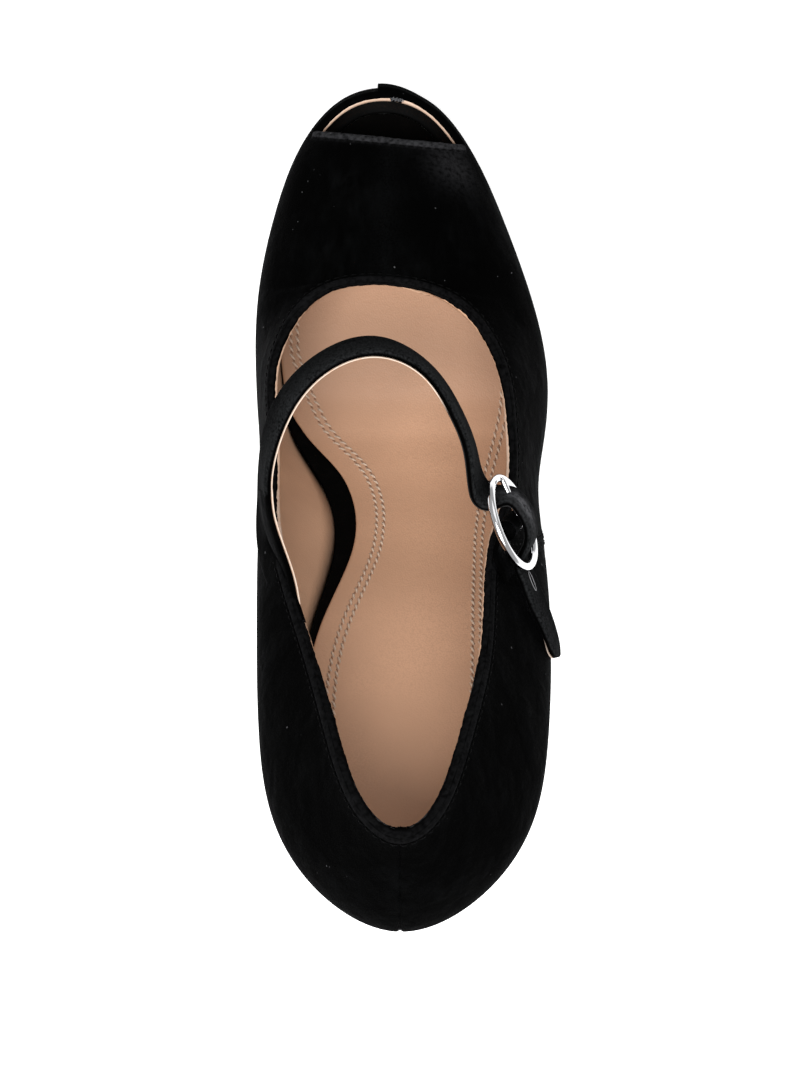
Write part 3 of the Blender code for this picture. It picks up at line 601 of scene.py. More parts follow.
def travel(points):
    """Running length along a line of points, from 0 at its start."""
    return np.concatenate([[0.0], np.cumsum(np.linalg.norm(np.diff(points, axis=0), axis=1))])


def along_line(at, run, points):
    """Places on a line at running lengths, straight between its points."""
    return np.stack([np.interp(at, run, points[:, k]) for k in range(points.shape[1])], axis=1)


def bell(distance, reach):
    """Bell curve: e to the minus square of the distance over the reach."""
    return np.exp(-((distance / reach) ** 2))


def unit(vectors):
    """Vectors of length one."""
    return vectors / np.linalg.norm(vectors, axis=-1, keepdims=True)


def smooth_line(knots, values, at):
    """Cubic through the knots that keeps flat stretches flat.

    Its tangents are harmonic means of the slopes on both sides.
    """
    order = np.argsort(knots)
    knots, values = knots[order], values[order]
    steps = np.diff(knots)
    slopes = np.diff(values) / steps
    same_way = slopes[:-1] * slopes[1:] > 0
    total = np.where(same_way, slopes[:-1] + slopes[1:], 1.0)
    inner = np.where(same_way, 2 * slopes[:-1] * slopes[1:] / total, 0.0)
    tangents = np.concatenate([[slopes[0]], inner, [slopes[-1]]])
    return hermite(knots, values[:, None], tangents[:, None], at)[:, 0]


def hermite(knots, values, tangents, at):
    """Cubic Hermite curve: values and tangents at the knots, blended by the four standard cubics."""
    steps = np.diff(knots)
    place = np.clip(np.searchsorted(knots, at, side="right") - 1, 0, len(steps) - 1)
    step = steps[place][:, None]
    t = ((at - knots[place]) / steps[place])[:, None]
    start = values[place] * (1 + 2 * t) * (1 - t) ** 2 + tangents[place] * step * t * (1 - t) ** 2
    end = values[place + 1] * t**2 * (3 - 2 * t) + tangents[place + 1] * step * t**2 * (t - 1)
    return start + end


def spline(knots, values, at, period=None):
    """Cubic spline with even curvature through points, closed when a period is given.

    The tangents solve the usual three-term equations, which make the second derivative continuous.
    """
    knots = np.asarray(knots, float)
    values = np.asarray(values, float)
    if period is not None:
        knots = np.concatenate([knots, [knots[0] + period]])
        values = np.concatenate([values, values[:1]])
    steps = np.diff(knots)
    slopes = np.diff(values, axis=0) / steps[:, None]
    count = len(knots)
    inside = np.arange(1, count - 1)
    matrix = np.zeros((count, count))
    right = np.zeros((count, values.shape[1]))
    matrix[inside, inside - 1] = steps[1:]
    matrix[inside, inside] = 2 * (steps[:-1] + steps[1:])
    matrix[inside, inside + 1] = steps[:-1]
    right[1:-1] = 3 * (steps[1:, None] * slopes[:-1] + steps[:-1, None] * slopes[1:])
    if period is None:
        matrix[0, :2] = 2, 1
        right[0] = 3 * slopes[0]
        matrix[-1, -2:] = 1, 2
        right[-1] = 3 * slopes[-1]
    else:
        matrix[0, 0], matrix[0, -1] = 1, -1
        matrix[-1, [0, 1, -2]] = 2 * steps[-1], steps[-1], steps[0]
        matrix[-1, -1] = 2 * steps[0]
        right[-1] = 3 * (steps[-1] * slopes[0] + steps[0] * slopes[-1])
    tangents = np.linalg.solve(matrix, right)
    at = np.asarray(at, float)
    if period is not None:
        at = knots[0] + np.mod(at - knots[0], period)
    return hermite(knots, values, tangents, at)


def sole_height(y, level):
    """Height of the layer that lies a given distance above the sole line, measured square to the line."""
    along = np.linspace(column(SOLE_LINE, 1).min(), column(SOLE_LINE, 1).max(), 600)
    low = smooth_line(column(SOLE_LINE, 1), column(SOLE_LINE, 2), along)
    slope = np.gradient(low, along)
    length = np.sqrt(1 + slope**2)
    return np.interp(y, along - level * slope / length, low + level / length)


def rib_stations():
    """Running length of each rib along the widest line, by name, and the whole length."""
    points = np.stack([column(RIBS, 1), column(RIBS, 2)], axis=1)
    steps = np.linalg.norm(np.roll(points, -1, axis=0) - points, axis=1)
    starts = np.concatenate([[0.0], np.cumsum(steps)[:-1]])
    return dict(zip([row[0] for row in RIBS], starts)), steps.sum()


STATIONS, ROUND = rib_stations()
STATIONS["all round"] = ROUND
COLLAR_END = STATIONS["inner throat"]
INNER_CORNER = STATIONS["inner corner"]
OUTER_CORNER = STATIONS["outer corner"]


def ribs_at(stations):
    """Widest line, its outward direction, tuck and belly at stations round the shoe."""
    knots = [STATIONS[row[0]] for row in RIBS]
    table = numbers(RIBS)
    values = spline(knots, table, stations, ROUND)
    ahead = spline(knots, table, stations + SLOPE_STEP, ROUND)
    tangent = unit((ahead - spline(knots, table, stations - SLOPE_STEP, ROUND))[:, :2])
    outward = np.stack([-tangent[:, 1], tangent[:, 0]], axis=1)
    return values[:, :2], outward, values[:, 2], values[:, 3]


def edge_width(tuck, belly):
    """Level width of the wall's bottom edge, wider where the wall starts out flatter."""
    steep = KNEE * belly / np.hypot(tuck, KNEE * belly)
    return WALL / np.maximum(steep, LEAST_SLOPE)


def top_at(stations):
    """Top edge and dome above stations round the shoe: collar, then the vamp's ridge and its front end."""
    knots = [STATIONS[row[0]] for row in TOPLINE]
    collar = spline(knots, numbers(TOPLINE), stations, COLLAR_END)
    inner = (stations - COLLAR_END) / (INNER_CORNER - COLLAR_END)
    outer = (ROUND - stations) / (ROUND - OUTER_CORNER)
    forward = np.clip(np.minimum(inner, outer), 0, 1)
    ridge = spline([0.0, 0.5, 1.0], numbers(RIDGE), forward)
    ridge = np.concatenate([ridge, np.ones((len(stations), 1))], axis=1)
    top = np.where((stations <= COLLAR_END)[:, None], collar, ridge)
    return top[:, :3], top[:, 3]


def wall(stations, heights):
    """Outer face of the upper as a function of station round the shoe and height.

    From height 0 to 1 each rib is a quadratic curve from the bottom edge to the widest line, from 1 to 2
    a cubic one that leaves upright and arrives level on a vault or straight at a collar edge.
    """
    stations, heights = np.broadcast_arrays(np.asarray(stations, float), np.asarray(heights, float))
    flat = stations.ravel()
    height = heights.ravel()[:, None]
    widest, outward, tuck, belly = ribs_at(flat)
    foot = widest - outward * tuck[:, None]
    foot_z = sole_height(foot[:, 1], FEATHER)
    bottom = np.column_stack([foot, foot_z])
    middle = np.column_stack([widest, foot_z + belly])
    knee = np.column_stack([widest, foot_z + KNEE * belly])
    top, dome = top_at(flat)
    chord = top - middle
    dome = dome[:, None]
    upright = np.column_stack([np.zeros(len(dome)), -VAMP_RAKE * dome[:, 0], np.ones(len(dome))])
    leave = middle + upright * chord[:, 2:3] * (UPRIGHT_SHARE + UPRIGHT_VAULT_SHARE * dome)
    across = np.column_stack([-chord[:, 0], VAMP_SLANT * chord[:, 0], np.zeros(len(dome))])
    arrive = top + dome * VAULT_LEVEL_SHARE * across - (1 - dome) * COLLAR_STRAIGHT_SHARE * chord
    t = np.clip(height, 0, 1)
    below = bottom * (1 - t) ** 2 + 2 * knee * t * (1 - t) + middle * t**2
    t = np.clip(height - 1, 0, 1)
    above = middle * (1 - t) ** 3 + 3 * leave * t * (1 - t) ** 2 + 3 * arrive * t**2 * (1 - t) + top * t**3
    return np.where(height <= 1, below, above).reshape(*stations.shape, 3)


def wall_normal(stations, heights, low, high):
    """Outward normal of the wall, taken inside a stretch of stations.

    It is the cross product of the wall's slopes along height and station.
    """
    stations, heights = np.broadcast_arrays(np.asarray(stations, float), np.asarray(heights, float))
    inside = np.clip(stations, low + SLOPE_INSET, high - SLOPE_INSET)
    level = np.clip(heights, SLOPE_LOWEST, SLOPE_HIGHEST)
    along = wall(inside + SLOPE_STEP, level) - wall(inside - SLOPE_STEP, level)
    up = wall(inside, level + SLOPE_RISE) - wall(inside, level - SLOPE_RISE)
    return unit(np.cross(up, along))


def even_stations(start, end, count):
    """Stations that divide the wall evenly, counting both its widest line and its top edge."""
    dense = np.linspace(start, end, 1600)
    widest = np.linalg.norm(np.diff(ribs_at(dense)[0], axis=0), axis=1)
    top = np.linalg.norm(np.diff(top_at(dense)[0], axis=0), axis=1)
    run = np.concatenate([[0.0], np.cumsum(2 * widest + top)])
    return np.interp(np.linspace(0, run[-1], count + 1), run, dense)


def lap_offset(widest):
    """Extra thickness of the toe rim where its outer end laps over the inner one, with a step at the lap."""
    beyond = (widest[:, 0] - LAP_X) / LAP_EASE
    inside = (beyond > 0) & (beyond < 1) & (widest[:, 1] > LAP_FRONT_Y)
    return np.where(inside, LAP_STEP * (1 - beyond**2) ** 2, 0.0)


def station_at_x(x):
    """Station of the toe rim whose widest line has this x."""
    rim = np.linspace(INNER_CORNER, OUTER_CORNER, 400)
    return np.interp(x, ribs_at(rim)[0][:, 0], rim)


def bottom_edge(inset, inside_wall=False):
    """Inner and outer edges of the shoe's bottom outline, drawn in by an inset, as dense lines by y."""
    dense = np.linspace(0, ROUND, OUTLINE_POINTS, endpoint=False)
    widest, outward, tuck, belly = ribs_at(dense)
    inset = inset + inside_wall * edge_width(tuck, belly)
    line = widest - outward * (tuck + inset)[:, None]
    back, front = np.argmin(line[:, 1]), np.argmax(line[:, 1])
    outer = np.concatenate([line[front:], line[:back + 1]])
    return line[back:front + 1], outer[::-1]


def edge_at(line, y):
    """Sideways place of an edge line at given y."""
    rising = np.maximum.accumulate(line[:, 1])
    return np.interp(y, rising, line[:, 0])


def sock_bay(y):
    """How far the sock's inner edge draws in at the arch, a bell curve along the shoe."""
    reach = np.where(y > SOCK_ARCH_Y, SOCK_ARCH_FRONT, SOCK_ARCH_BACK)
    return SOCK_ARCH_INSET * bell(y - SOCK_ARCH_Y, reach)


def sock_side(y):
    """Sideways shift of the sock's inner edge: the bay, and in front of it the sock reaches to the wall."""
    front = np.clip((y - SOCK_WALL_Y) / SOCK_WALL_EASE, 0, 1)
    return sock_bay(y) - SOCK_WALL_REACH * front


def lift_edges(y):
    """Half width of the top lift by y: a straight front with a round back."""
    turn = np.clip((LIFT_BACK_Y + LIFT_HALF_WIDTH - y) / LIFT_HALF_WIDTH, 0, 1)
    return LIFT_HALF_WIDTH * np.sqrt(1 - LIFT_BACK_ROUND * turn**2)


def buckle_frame():
    """Directions of the buckle: along the strap, across it towards the upper edge, and outward."""
    along = unit(BUCKLE_ALONG)
    across = unit(BUCKLE_ACROSS - along * (BUCKLE_ACROSS @ along))
    return along, across, np.cross(across, along)


def in_buckle(places):
    """World points from places given along, across and outward from the buckle's middle."""
    return BUCKLE_CENTRE + np.asarray(places, float) @ np.stack(buckle_frame())


def strap_root():
    """Rows of the strap's way out of the inner quarter: places on the wall, and the way up the wall."""
    inner = np.linspace(STATIONS["back seam"], COLLAR_END, 800)
    stations = np.interp(column(STRAP_ROOT, 1), top_at(inner)[0][:, 1], inner)
    edge = wall(stations, TOP_HEIGHT)
    up = unit(edge - wall(stations, STRAP_ROOT_HEIGHT))
    normal = wall_normal(stations, STRAP_ROOT_HEIGHT, 0.0, COLLAR_END)
    place = edge - up * column(STRAP_ROOT, 2)[:, None] + normal * column(STRAP_ROOT, 3)[:, None]
    return np.column_stack([place, up])


def strap_path(count):
    """Middle line of the strap and the way its width points, a spline through the tables and the buckle.

    The width's directions are summed over a short stretch to both sides, which eases their turns.
    """
    _, across, _ = buckle_frame()
    through = in_buckle(numbers(STRAP_THROUGH))
    middle = np.column_stack([through, np.repeat(across[None], len(through), axis=0)])
    middle[0, 3:] = STRAP_ENTRY_ACROSS
    knots = np.concatenate([strap_root(), numbers(STRAP_ARCH), middle, numbers(STRAP_TAIL)])
    run = travel(knots[:, :3])
    dense = spline(run, knots, np.linspace(0, run[-1], 2400))
    run = travel(dense[:, :3])
    line = along_line(np.linspace(0, run[-1], count), run, dense)
    reach = max(int(count * STRAP_TURN_EASE), 1)
    padded = np.pad(line[:, 3:], ((reach, reach), (0, 0)), mode="edge")
    sums = np.cumsum(np.concatenate([np.zeros((1, 3)), padded]), axis=0)
    return line[:, :3], sums[2 * reach + 1:] - sums[:-2 * reach - 1]


def carry(path, across, outline):
    """A profile of (across, outward) pairs carried along a path: each ring is the path plus both directions.

    The way across is one direction, or one for each point of the path.
    """
    tangent = unit(np.gradient(path, axis=0))
    across = unit(across - tangent * (across * tangent).sum(axis=1, keepdims=True))
    normal = np.cross(across, tangent)
    return path[:, None] + outline[..., :1] * across[:, None] + outline[..., 1:] * normal[:, None]


def round_band(width, thick, corners=6):
    """Flat band with round edges as (across, outward) pairs: two half circles joined by straight lines."""
    radius = thick / 2
    turn = np.linspace(-math.pi / 2, math.pi / 2, corners + 1)
    right = np.stack([width / 2 - radius + radius * np.cos(turn), radius * np.sin(turn)], axis=1)
    flat = np.linspace(width / 2 - radius, radius - width / 2, 8)[1:-1]
    top = np.stack([flat, np.full_like(flat, radius)], axis=1)
    return np.concatenate([right, top, -right, -top])


def circle(radius, count):
    """Circle of points as pairs."""
    turn = np.linspace(0, 2 * math.pi, count, endpoint=False)
    return radius * np.stack([np.cos(turn), np.sin(turn)], axis=1)


def outward_faces(points, faces):
    """Faces turned so that the closed body they make has a positive volume."""
    corners = points[faces]
    volume = np.einsum("ij,ij->i", corners[:, 0], np.cross(corners[:, 1], corners[:, 2])).sum()
    volume += np.einsum("ij,ij->i", corners[:, 0], np.cross(corners[:, 2], corners[:, 3])).sum()
    return faces if volume > 0 else faces[:, ::-1]


def add_piece(name, points, faces, finish, nodes=(), attributes=None):
    """Puts points in millimetres and faces into a mesh object that rides on the shoe."""
    mesh = bpy.data.meshes.new(name)
    mesh.from_pydata((points * MM).tolist(), [], faces.tolist())
    mesh.validate()
    mesh.shade_smooth()
    mesh.materials.append(finishes()[finish])
    for key, values in (attributes or {}).items():
        layer = mesh.attributes.new(key, "FLOAT", "POINT")
        layer.data.foreach_set("value", np.asarray(values, np.float32))
    piece = bpy.data.objects.new(name, mesh)
    bpy.context.scene.collection.objects.link(piece)
    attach(piece, "root")
    if nodes:
        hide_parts(*nodes)
    return piece


def loft_faces(rings, closed):
    """Points and faces of a body made of rings.

    Quads join neighbours, and fans of quads close the ends of an open row of rings.
    """
    count, around = rings.shape[:2]
    number = np.arange(count * around).reshape(count, around)
    here = number if closed else number[:-1]
    ahead = np.roll(number, -1, axis=0) if closed else number[1:]
    sides = np.stack([here, ahead, np.roll(ahead, -1, axis=1), np.roll(here, -1, axis=1)], axis=-1)
    sides = sides.reshape(-1, 4)
    points = rings.reshape(-1, 3)
    if not closed:
        half = around // 2
        low = np.arange(half - 1)
        high = around - 1 - low
        cap = np.stack([low, high, high - 1, low + 1], axis=-1)
        sides = np.concatenate([sides, number[0][cap], number[-1][cap][:, ::-1]])
    return points, outward_faces(points, sides)


def add_loft(name, rings, finish, nodes=(), closed=False, attributes=None):
    """Closed body from rings of points."""
    points, faces = loft_faces(rings, closed)
    return add_piece(name, points, faces, finish, nodes, attributes)


def add_stitches(name, paths, finish, pitch, wire, share=0.72, slant=0.0, start_share=0.5):
    """Rows of stitches: one small spindle, repeated along each path at even steps and bent to its direction.

    A path is a pair of arrays, points and the normals of the surface they lie on. Each spindle is a
    ring of points scaled by a half sine along its length, and its ends dip into the surface. A slant turns
    each spindle in the surface.
    """
    rings, around = 6, 6
    t = np.linspace(0, 1, rings)
    swell = np.sin(math.pi * t)
    thick = STITCH_END + (1 - STITCH_END) * swell
    turn = np.linspace(0, 2 * math.pi, around, endpoint=False)
    shape = np.stack(np.broadcast_arrays(
        (t - 0.5)[:, None] * pitch * share,
        wire * thick[:, None] * np.cos(turn),
        wire * (thick[:, None] * np.sin(turn) + STITCH_ARCH * swell[:, None] - STITCH_DIP),
    ), axis=-1).reshape(-1, 3)
    ring_faces = loft_faces(shape.reshape(rings, around, 3), False)[1]
    all_points, all_faces, start = [], [], 0
    for points, normals in paths:
        run = travel(points)
        count = max(int(run[-1] / pitch), 2)
        at = (np.arange(count) + start_share) * run[-1] / count
        centre = along_line(at, run, points)
        up = unit(along_line(at, run, normals))
        along = unit(along_line(at + pitch / 2, run, points) - along_line(at - pitch / 2, run, points))
        side = unit(np.cross(up, along))
        up = np.cross(along, side)
        along, side = (along * math.cos(slant) + side * math.sin(slant),
                       side * math.cos(slant) - along * math.sin(slant))
        placed = centre[:, None] + shape @ np.stack([along, side, up], axis=1)
        all_points.append(placed.reshape(-1, 3))
        offsets = start + len(shape) * np.arange(count)
        all_faces.append((ring_faces[None] + offsets[:, None, None]).reshape(-1, 4))
        start += len(shape) * count
    return add_piece(name, np.concatenate(all_points), np.concatenate(all_faces), finish)


def shade(colour, share):
    """A colour made darker by a share under one, or lighter by one over it."""
    return tuple(share * part for part in colour)


class Finish:
    """Short way to add and join the nodes of one procedural material."""

    def __init__(self, name):
        self.material = bpy.data.materials.new(name)
        self.material.use_nodes = True
        self.nodes = self.material.node_tree.nodes
        self.links = self.material.node_tree.links
        self.shader = self.nodes["Principled BSDF"]
        self.place = self.nodes.new("ShaderNodeTexCoord").outputs["Object"]

    def constant(self, **values):
        """Numbers and colours straight on the shader's sockets, named with spaces as underscores."""
        for key, value in values.items():
            self.shader.inputs[key.replace("_", " ")].default_value = value

    def noise(self, scale, detail=3.0, rough=0.55, stretch=None):
        """Fractal noise in object space, stretched by a Mapping node if asked."""
        node = self.nodes.new("ShaderNodeTexNoise")
        node.inputs["Scale"].default_value = scale
        node.inputs["Detail"].default_value = detail
        node.inputs["Roughness"].default_value = rough
        place = self.place
        if stretch is not None:
            mapping = self.nodes.new("ShaderNodeMapping")
            mapping.inputs["Scale"].default_value = stretch
            self.links.new(place, mapping.inputs["Vector"])
            place = mapping.outputs["Vector"]
        self.links.new(place, node.inputs["Vector"])
        return node.outputs["Fac"]

    def cells(self, scale):
        """Distance inside cells, for leather grain."""
        node = self.nodes.new("ShaderNodeTexVoronoi")
        node.inputs["Scale"].default_value = scale
        self.links.new(self.place, node.inputs["Vector"])
        return node.outputs["Distance"]

    def attribute(self, name):
        """A number kept on the mesh's points."""
        node = self.nodes.new("ShaderNodeAttribute")
        node.attribute_name = name
        return node.outputs["Fac"]

    def ramp(self, value, low, high):
        """Value stretched so that low becomes 0 and high becomes 1, and held there beyond."""
        node = self.nodes.new("ShaderNodeMapRange")
        node.inputs["From Min"].default_value = low
        node.inputs["From Max"].default_value = high
        self.links.new(value, node.inputs["Value"])
        return node.outputs["Result"]

    def math(self, operation, first, second):
        """One arithmetic step on two values, of which the second may be a number."""
        node = self.nodes.new("ShaderNodeMath")
        node.operation = operation
        self.links.new(first, node.inputs[0])
        if isinstance(second, (int, float)):
            node.inputs[1].default_value = second
        else:
            self.links.new(second, node.inputs[1])
        return node.outputs[0]

    def mix(self, factor, first, second):
        """Colour between two colours, each a triple or a socket."""
        node = self.nodes.new("ShaderNodeMix")
        node.data_type = "RGBA"
        self.links.new(factor, node.inputs["Factor"])
        for socket, colour in ((node.inputs[6], first), (node.inputs[7], second)):
            if hasattr(colour, "node"):
                self.links.new(colour, socket)
            else:
                socket.default_value = (*colour, 1.0)
        return node.outputs[2]

    def colour(self, socket):
        """Joins a colour to the shader."""
        self.links.new(socket, self.shader.inputs["Base Color"])

    def roughness(self, value, low, high):
        """Roughness that runs between two values."""
        node = self.nodes.new("ShaderNodeMapRange")
        node.inputs["To Min"].default_value = low
        node.inputs["To Max"].default_value = high
        self.links.new(value, node.inputs["Value"])
        self.links.new(node.outputs["Result"], self.shader.inputs["Roughness"])

    def bump(self, *layers):
        """Relief from pairs of a height and its depth in metres, laid over each other."""
        normal = None
        for height, depth in layers:
            node = self.nodes.new("ShaderNodeBump")
            node.inputs["Strength"].default_value = 1.0
            node.inputs["Distance"].default_value = depth
            self.links.new(height, node.inputs["Height"])
            if normal is not None:
                self.links.new(normal, node.inputs["Normal"])
            normal = node.outputs["Normal"]
        self.links.new(normal, self.shader.inputs["Normal"])


def velvet_finish(name, colours, brushed=1.0, lift=1.0):
    """Short black pile with brushed patches, loose lint, a soft sheen at grazing angles, and lighter pile
    and painted sheen where the mesh's shares ask for them.
    """
    finish = Finish(name)
    patches = finish.ramp(finish.noise(70.0, 3.0), 0.42, 0.7)
    strokes = finish.ramp(finish.noise(240.0, 4.0, 0.65, (1.0, 0.35, 1.0)), 0.4, 0.75)
    brush = finish.math("MULTIPLY", finish.math("MULTIPLY", patches, strokes), brushed)
    pile = finish.mix(brush, tuple(colours.velvet), tuple(colours.velvet_brushed))
    # Lighter specks of pile where the mesh's share asks: brushed pile, and painted sheen on the strap's face
    # and low on the sides
    specks = finish.ramp(finish.noise(1900.0, 3.0), 0.3, 0.62)
    raised = finish.math("MULTIPLY", finish.attribute("nap_and_sheen"), specks)
    pile = finish.mix(raised, pile, shade(colours.velvet_brushed, lift))
    # Painted sheen: a lighter grey, broken up by fine noise, where the mesh's sheen share is set
    fuzz = finish.ramp(finish.noise(900.0, 3.0), 0.25, 0.6)
    pile = finish.mix(finish.math("MULTIPLY", fuzz, finish.attribute("painted_sheen")), pile, PAINTED_SHEEN_COLOUR)
    lint = finish.ramp(finish.noise(620.0, 2.0, 0.4), 0.775, 0.81)
    finish.colour(finish.mix(lint, pile, LINT_COLOUR))
    finish.roughness(strokes, 0.82, 1.0)
    finish.constant(Specular_IOR_Level=0.006, Sheen_Weight=0.008, Sheen_Roughness=0.3,
                    Sheen_Tint=(0.9, 0.93, 1.0, 1.0))
    finish.bump((patches, 0.0005), (finish.noise(1900.0, 2.0), 0.00012))
    return finish.material


def tan_finish(name, colour):
    """Tan leather: slow colour drift, fine pores, painted shade over the ball and a matt polish."""
    finish = Finish(name)
    drift = finish.noise(26.0, 3.0)
    pores = finish.cells(2300.0)
    body = finish.mix(finish.ramp(drift, 0.3, 0.72), shade(colour, 0.78), tuple(colour))
    body = finish.mix(finish.ramp(pores, 0.35, 0.75), body, shade(colour, 0.86))
    # Painted shade: darker sock leather where the mesh's ball shade share is set
    finish.colour(finish.mix(finish.attribute("painted_ball_shade"), body, shade(colour, 0.5)))
    finish.roughness(finish.noise(160.0), 0.42, 0.62)
    finish.constant(Specular_IOR_Level=0.22)
    finish.bump((finish.noise(420.0, 4.0), 0.00008), (pores, 0.00004))
    return finish.material


def lining_finish(name, colours):
    """Tan lining that turns to pale raw fibre along its cut top edge, black where velvet covers it, and
    black as painted shade on the strap's backing.
    """
    finish = Finish(name)
    drift = finish.ramp(finish.noise(32.0, 3.0), 0.3, 0.72)
    body = finish.mix(drift, shade(colours.lining, 0.78), tuple(colours.lining))
    fibre = finish.math("MULTIPLY", finish.attribute("cut"), finish.ramp(finish.noise(900.0), 0.2, 0.5))
    edged = finish.mix(fibre, body, tuple(colours.raw_edge))
    finish.colour(finish.mix(finish.attribute("dark"), edged, tuple(colours.velvet)))
    finish.roughness(finish.noise(160.0), 0.5, 0.7)
    finish.constant(Specular_IOR_Level=0.28)
    finish.bump((finish.noise(420.0, 4.0), 0.00008), (finish.cells(2100.0), 0.00004))
    return finish.material


def worn_edge_finish(name, colour):
    """Worn rim of a punched hole: pale, fibrous and matt."""
    finish = Finish(name)
    fibre = finish.noise(1300.0, 4.0, 0.6)
    finish.colour(finish.mix(finish.ramp(fibre, 0.3, 0.7), shade(colour, 0.6), tuple(colour)))
    finish.roughness(fibre, 0.75, 0.95)
    finish.constant(Specular_IOR_Level=0.15)
    finish.bump((fibre, 0.00012))
    return finish.material


def black_leather_finish(name, colour, gloss=(0.38, 0.6), shine=0.08):
    """Smooth black leather with fine grain and slight scuffs."""
    finish = Finish(name)
    scuff = finish.ramp(finish.noise(180.0, 5.0, 0.7), 0.5, 0.85)
    finish.colour(finish.mix(scuff, tuple(colour), shade(colour, 2.6)))
    finish.roughness(scuff, *gloss)
    finish.constant(Specular_IOR_Level=shine)
    finish.bump((finish.noise(500.0, 3.0), 0.00006), (finish.cells(1500.0), 0.00006))
    return finish.material


def metal_finish(name, colour):
    """Polished silver metal with faint haze and fine scratches."""
    finish = Finish(name)
    haze = finish.noise(400.0, 3.0)
    finish.colour(finish.mix(finish.ramp(haze, 0.35, 0.75), shade(colour, 0.92), tuple(colour)))
    finish.roughness(haze, 0.06, 0.16)
    finish.constant(Metallic=1.0)
    finish.bump((finish.noise(1500.0, 2.0, 0.5, (1.0, 6.0, 1.0)), 0.000006))
    return finish.material


def rubber_finish(name):
    """Matt black rubber with a fine moulded grain."""
    finish = Finish(name)
    grain = finish.noise(1200.0, 3.0)
    finish.colour(finish.mix(grain, RUBBER_DARK, RUBBER_LIGHT))
    finish.roughness(grain, 0.62, 0.85)
    finish.constant(Specular_IOR_Level=0.3)
    finish.bump((grain, 0.0001))
    return finish.material


def thread_finish(name, colour, shine=0.2):
    """Twisted sewing thread: two shades in fine stripes."""
    finish = Finish(name)
    twist = finish.noise(2600.0, 1.0)
    finish.colour(finish.mix(twist, shade(colour, 0.7), tuple(colour)))
    finish.roughness(twist, 0.6, 0.85)
    finish.constant(Specular_IOR_Level=shine)
    finish.bump((twist, 0.00008))
    return finish.material


def finishes():
    """All finishes by name, made once and used by every operator."""
    colours = bpy.context.scene.pump.colours
    if "pump velvet" not in bpy.data.materials:
        velvet_finish("pump velvet", colours)
        # The strap's velvet lifts the brushed colour nine times where its painted sheen share is set
        velvet_finish("strap velvet", colours, 1.0, 9.0)
        velvet_finish("pump velvet trim", colours, 1.5)
        velvet_finish("heel velvet", colours, 0.8)
        tan_finish("sock leather", colours.sock)
        lining_finish("lining leather", colours)
        black_leather_finish("black insole leather", colours.black_leather, (0.85, 0.95), 0.02)
        black_leather_finish("black sole leather", colours.black_leather)
        metal_finish("polished metal", colours.metal)
        rubber_finish("lift rubber")
        thread_finish("black thread", BLACK_THREAD, 0.03)
        thread_finish("tan thread", TAN_THREAD)
        thread_finish("needle hole shade", NEEDLE_HOLE_SHADE)
        worn_edge_finish("worn hole edge", WORN_HOLE)
        thread_finish("frayed pile", FRAYED_PILE)
    return bpy.data.materials


BELOW_ROWS = 12
ABOVE_ROWS = 36


def shell_grid():
    """Outer face of the upper as points, quads, normals, station and height of each point."""
    collar = even_stations(0, COLLAR_END, 250)
    back = STATIONS["back seam"]
    collar = collar[np.abs(collar - back) > BACK_SEAM_CLEAR]
    collar = np.sort(np.concatenate([collar, back + BACK_SEAM_STEPS]))
    inner_vamp = np.linspace(COLLAR_END, INNER_CORNER, 45)[1:]
    rim = np.linspace(INNER_CORNER, OUTER_CORNER, 71)[1:-1]
    lap = station_at_x(LAP_X)
    rim = rim[np.abs(rim - lap) > LAP_CLEAR]
    rim = np.sort(np.concatenate([rim, [lap - LAP_HALF_STEP, lap + LAP_HALF_STEP]]))
    outer_vamp = np.linspace(OUTER_CORNER, ROUND, 45)[:-1]
    stations = np.concatenate([collar, inner_vamp, rim, outer_vamp])
    below = np.linspace(0, 1, BELOW_ROWS + 1)
    above = 1 + np.linspace(0, 1, ABOVE_ROWS + 1)[1:]
    heights = np.concatenate([below, above])
    grid = wall(stations[None, :], heights[:, None])
    rows, columns = grid.shape[:2]
    number = np.arange(rows * columns).reshape(rows, columns)
    ridge = np.arange(len(inner_vamp) + 1)
    number[-1, (columns - ridge) % columns] = number[-1, len(collar) - 1 + ridge]
    here = np.arange(columns)
    after = np.roll(here, -1)
    quads = np.stack([number[:-1, here], number[1:, here], number[1:, after], number[:-1, after]], axis=-1)
    first_rim = len(collar) - 1 + len(inner_vamp)
    on_rim = (here >= first_rim) & (here <= first_rim + len(rim))
    above_rim = np.arange(rows - 1)[:, None] >= BELOW_ROWS + ABOVE_ROWS * 2 // 9
    quads = quads[~(above_rim & on_rim)].reshape(-1, 4)
    points = grid.reshape(-1, 3)
    corners = points[quads]
    across = np.cross(corners[:, 2] - corners[:, 0], corners[:, 3] - corners[:, 1])
    normals = np.zeros_like(points)
    np.add.at(normals, quads.ravel(), np.repeat(across, 4, axis=0))
    from_throat = np.linalg.norm(points - np.array(RIDGE[0][1:]), axis=1)
    near_throat = bell(from_throat, THROAT_REACH)[:, None]
    normals = unit(unit(normals + 1e-12) * (1 - near_throat) + THROAT_NORMAL * near_throat)
    station, height = np.broadcast_arrays(stations[None, :], heights[:, None])
    return points, quads, normals, station.ravel(), height.ravel(), columns


def inside_wall(points, normals, stations, columns, depth):
    """Points at a depth inside the wall, measured level or upward, with a level bottom edge."""
    aim = unit(np.column_stack([normals[:, :2], np.maximum(normals[:, 2], 0.0)]))
    inset = depth / np.maximum((normals * aim).sum(axis=1), LEAST_SLOPE)
    inside = points - aim * inset[:, None]
    _, outward, tuck, belly = ribs_at(stations[:columns])
    drawn = outward * (edge_width(tuck, belly) * depth / WALL)[:, None]
    inside[:columns] = points[:columns] - np.column_stack([drawn, np.zeros(columns)])
    return inside


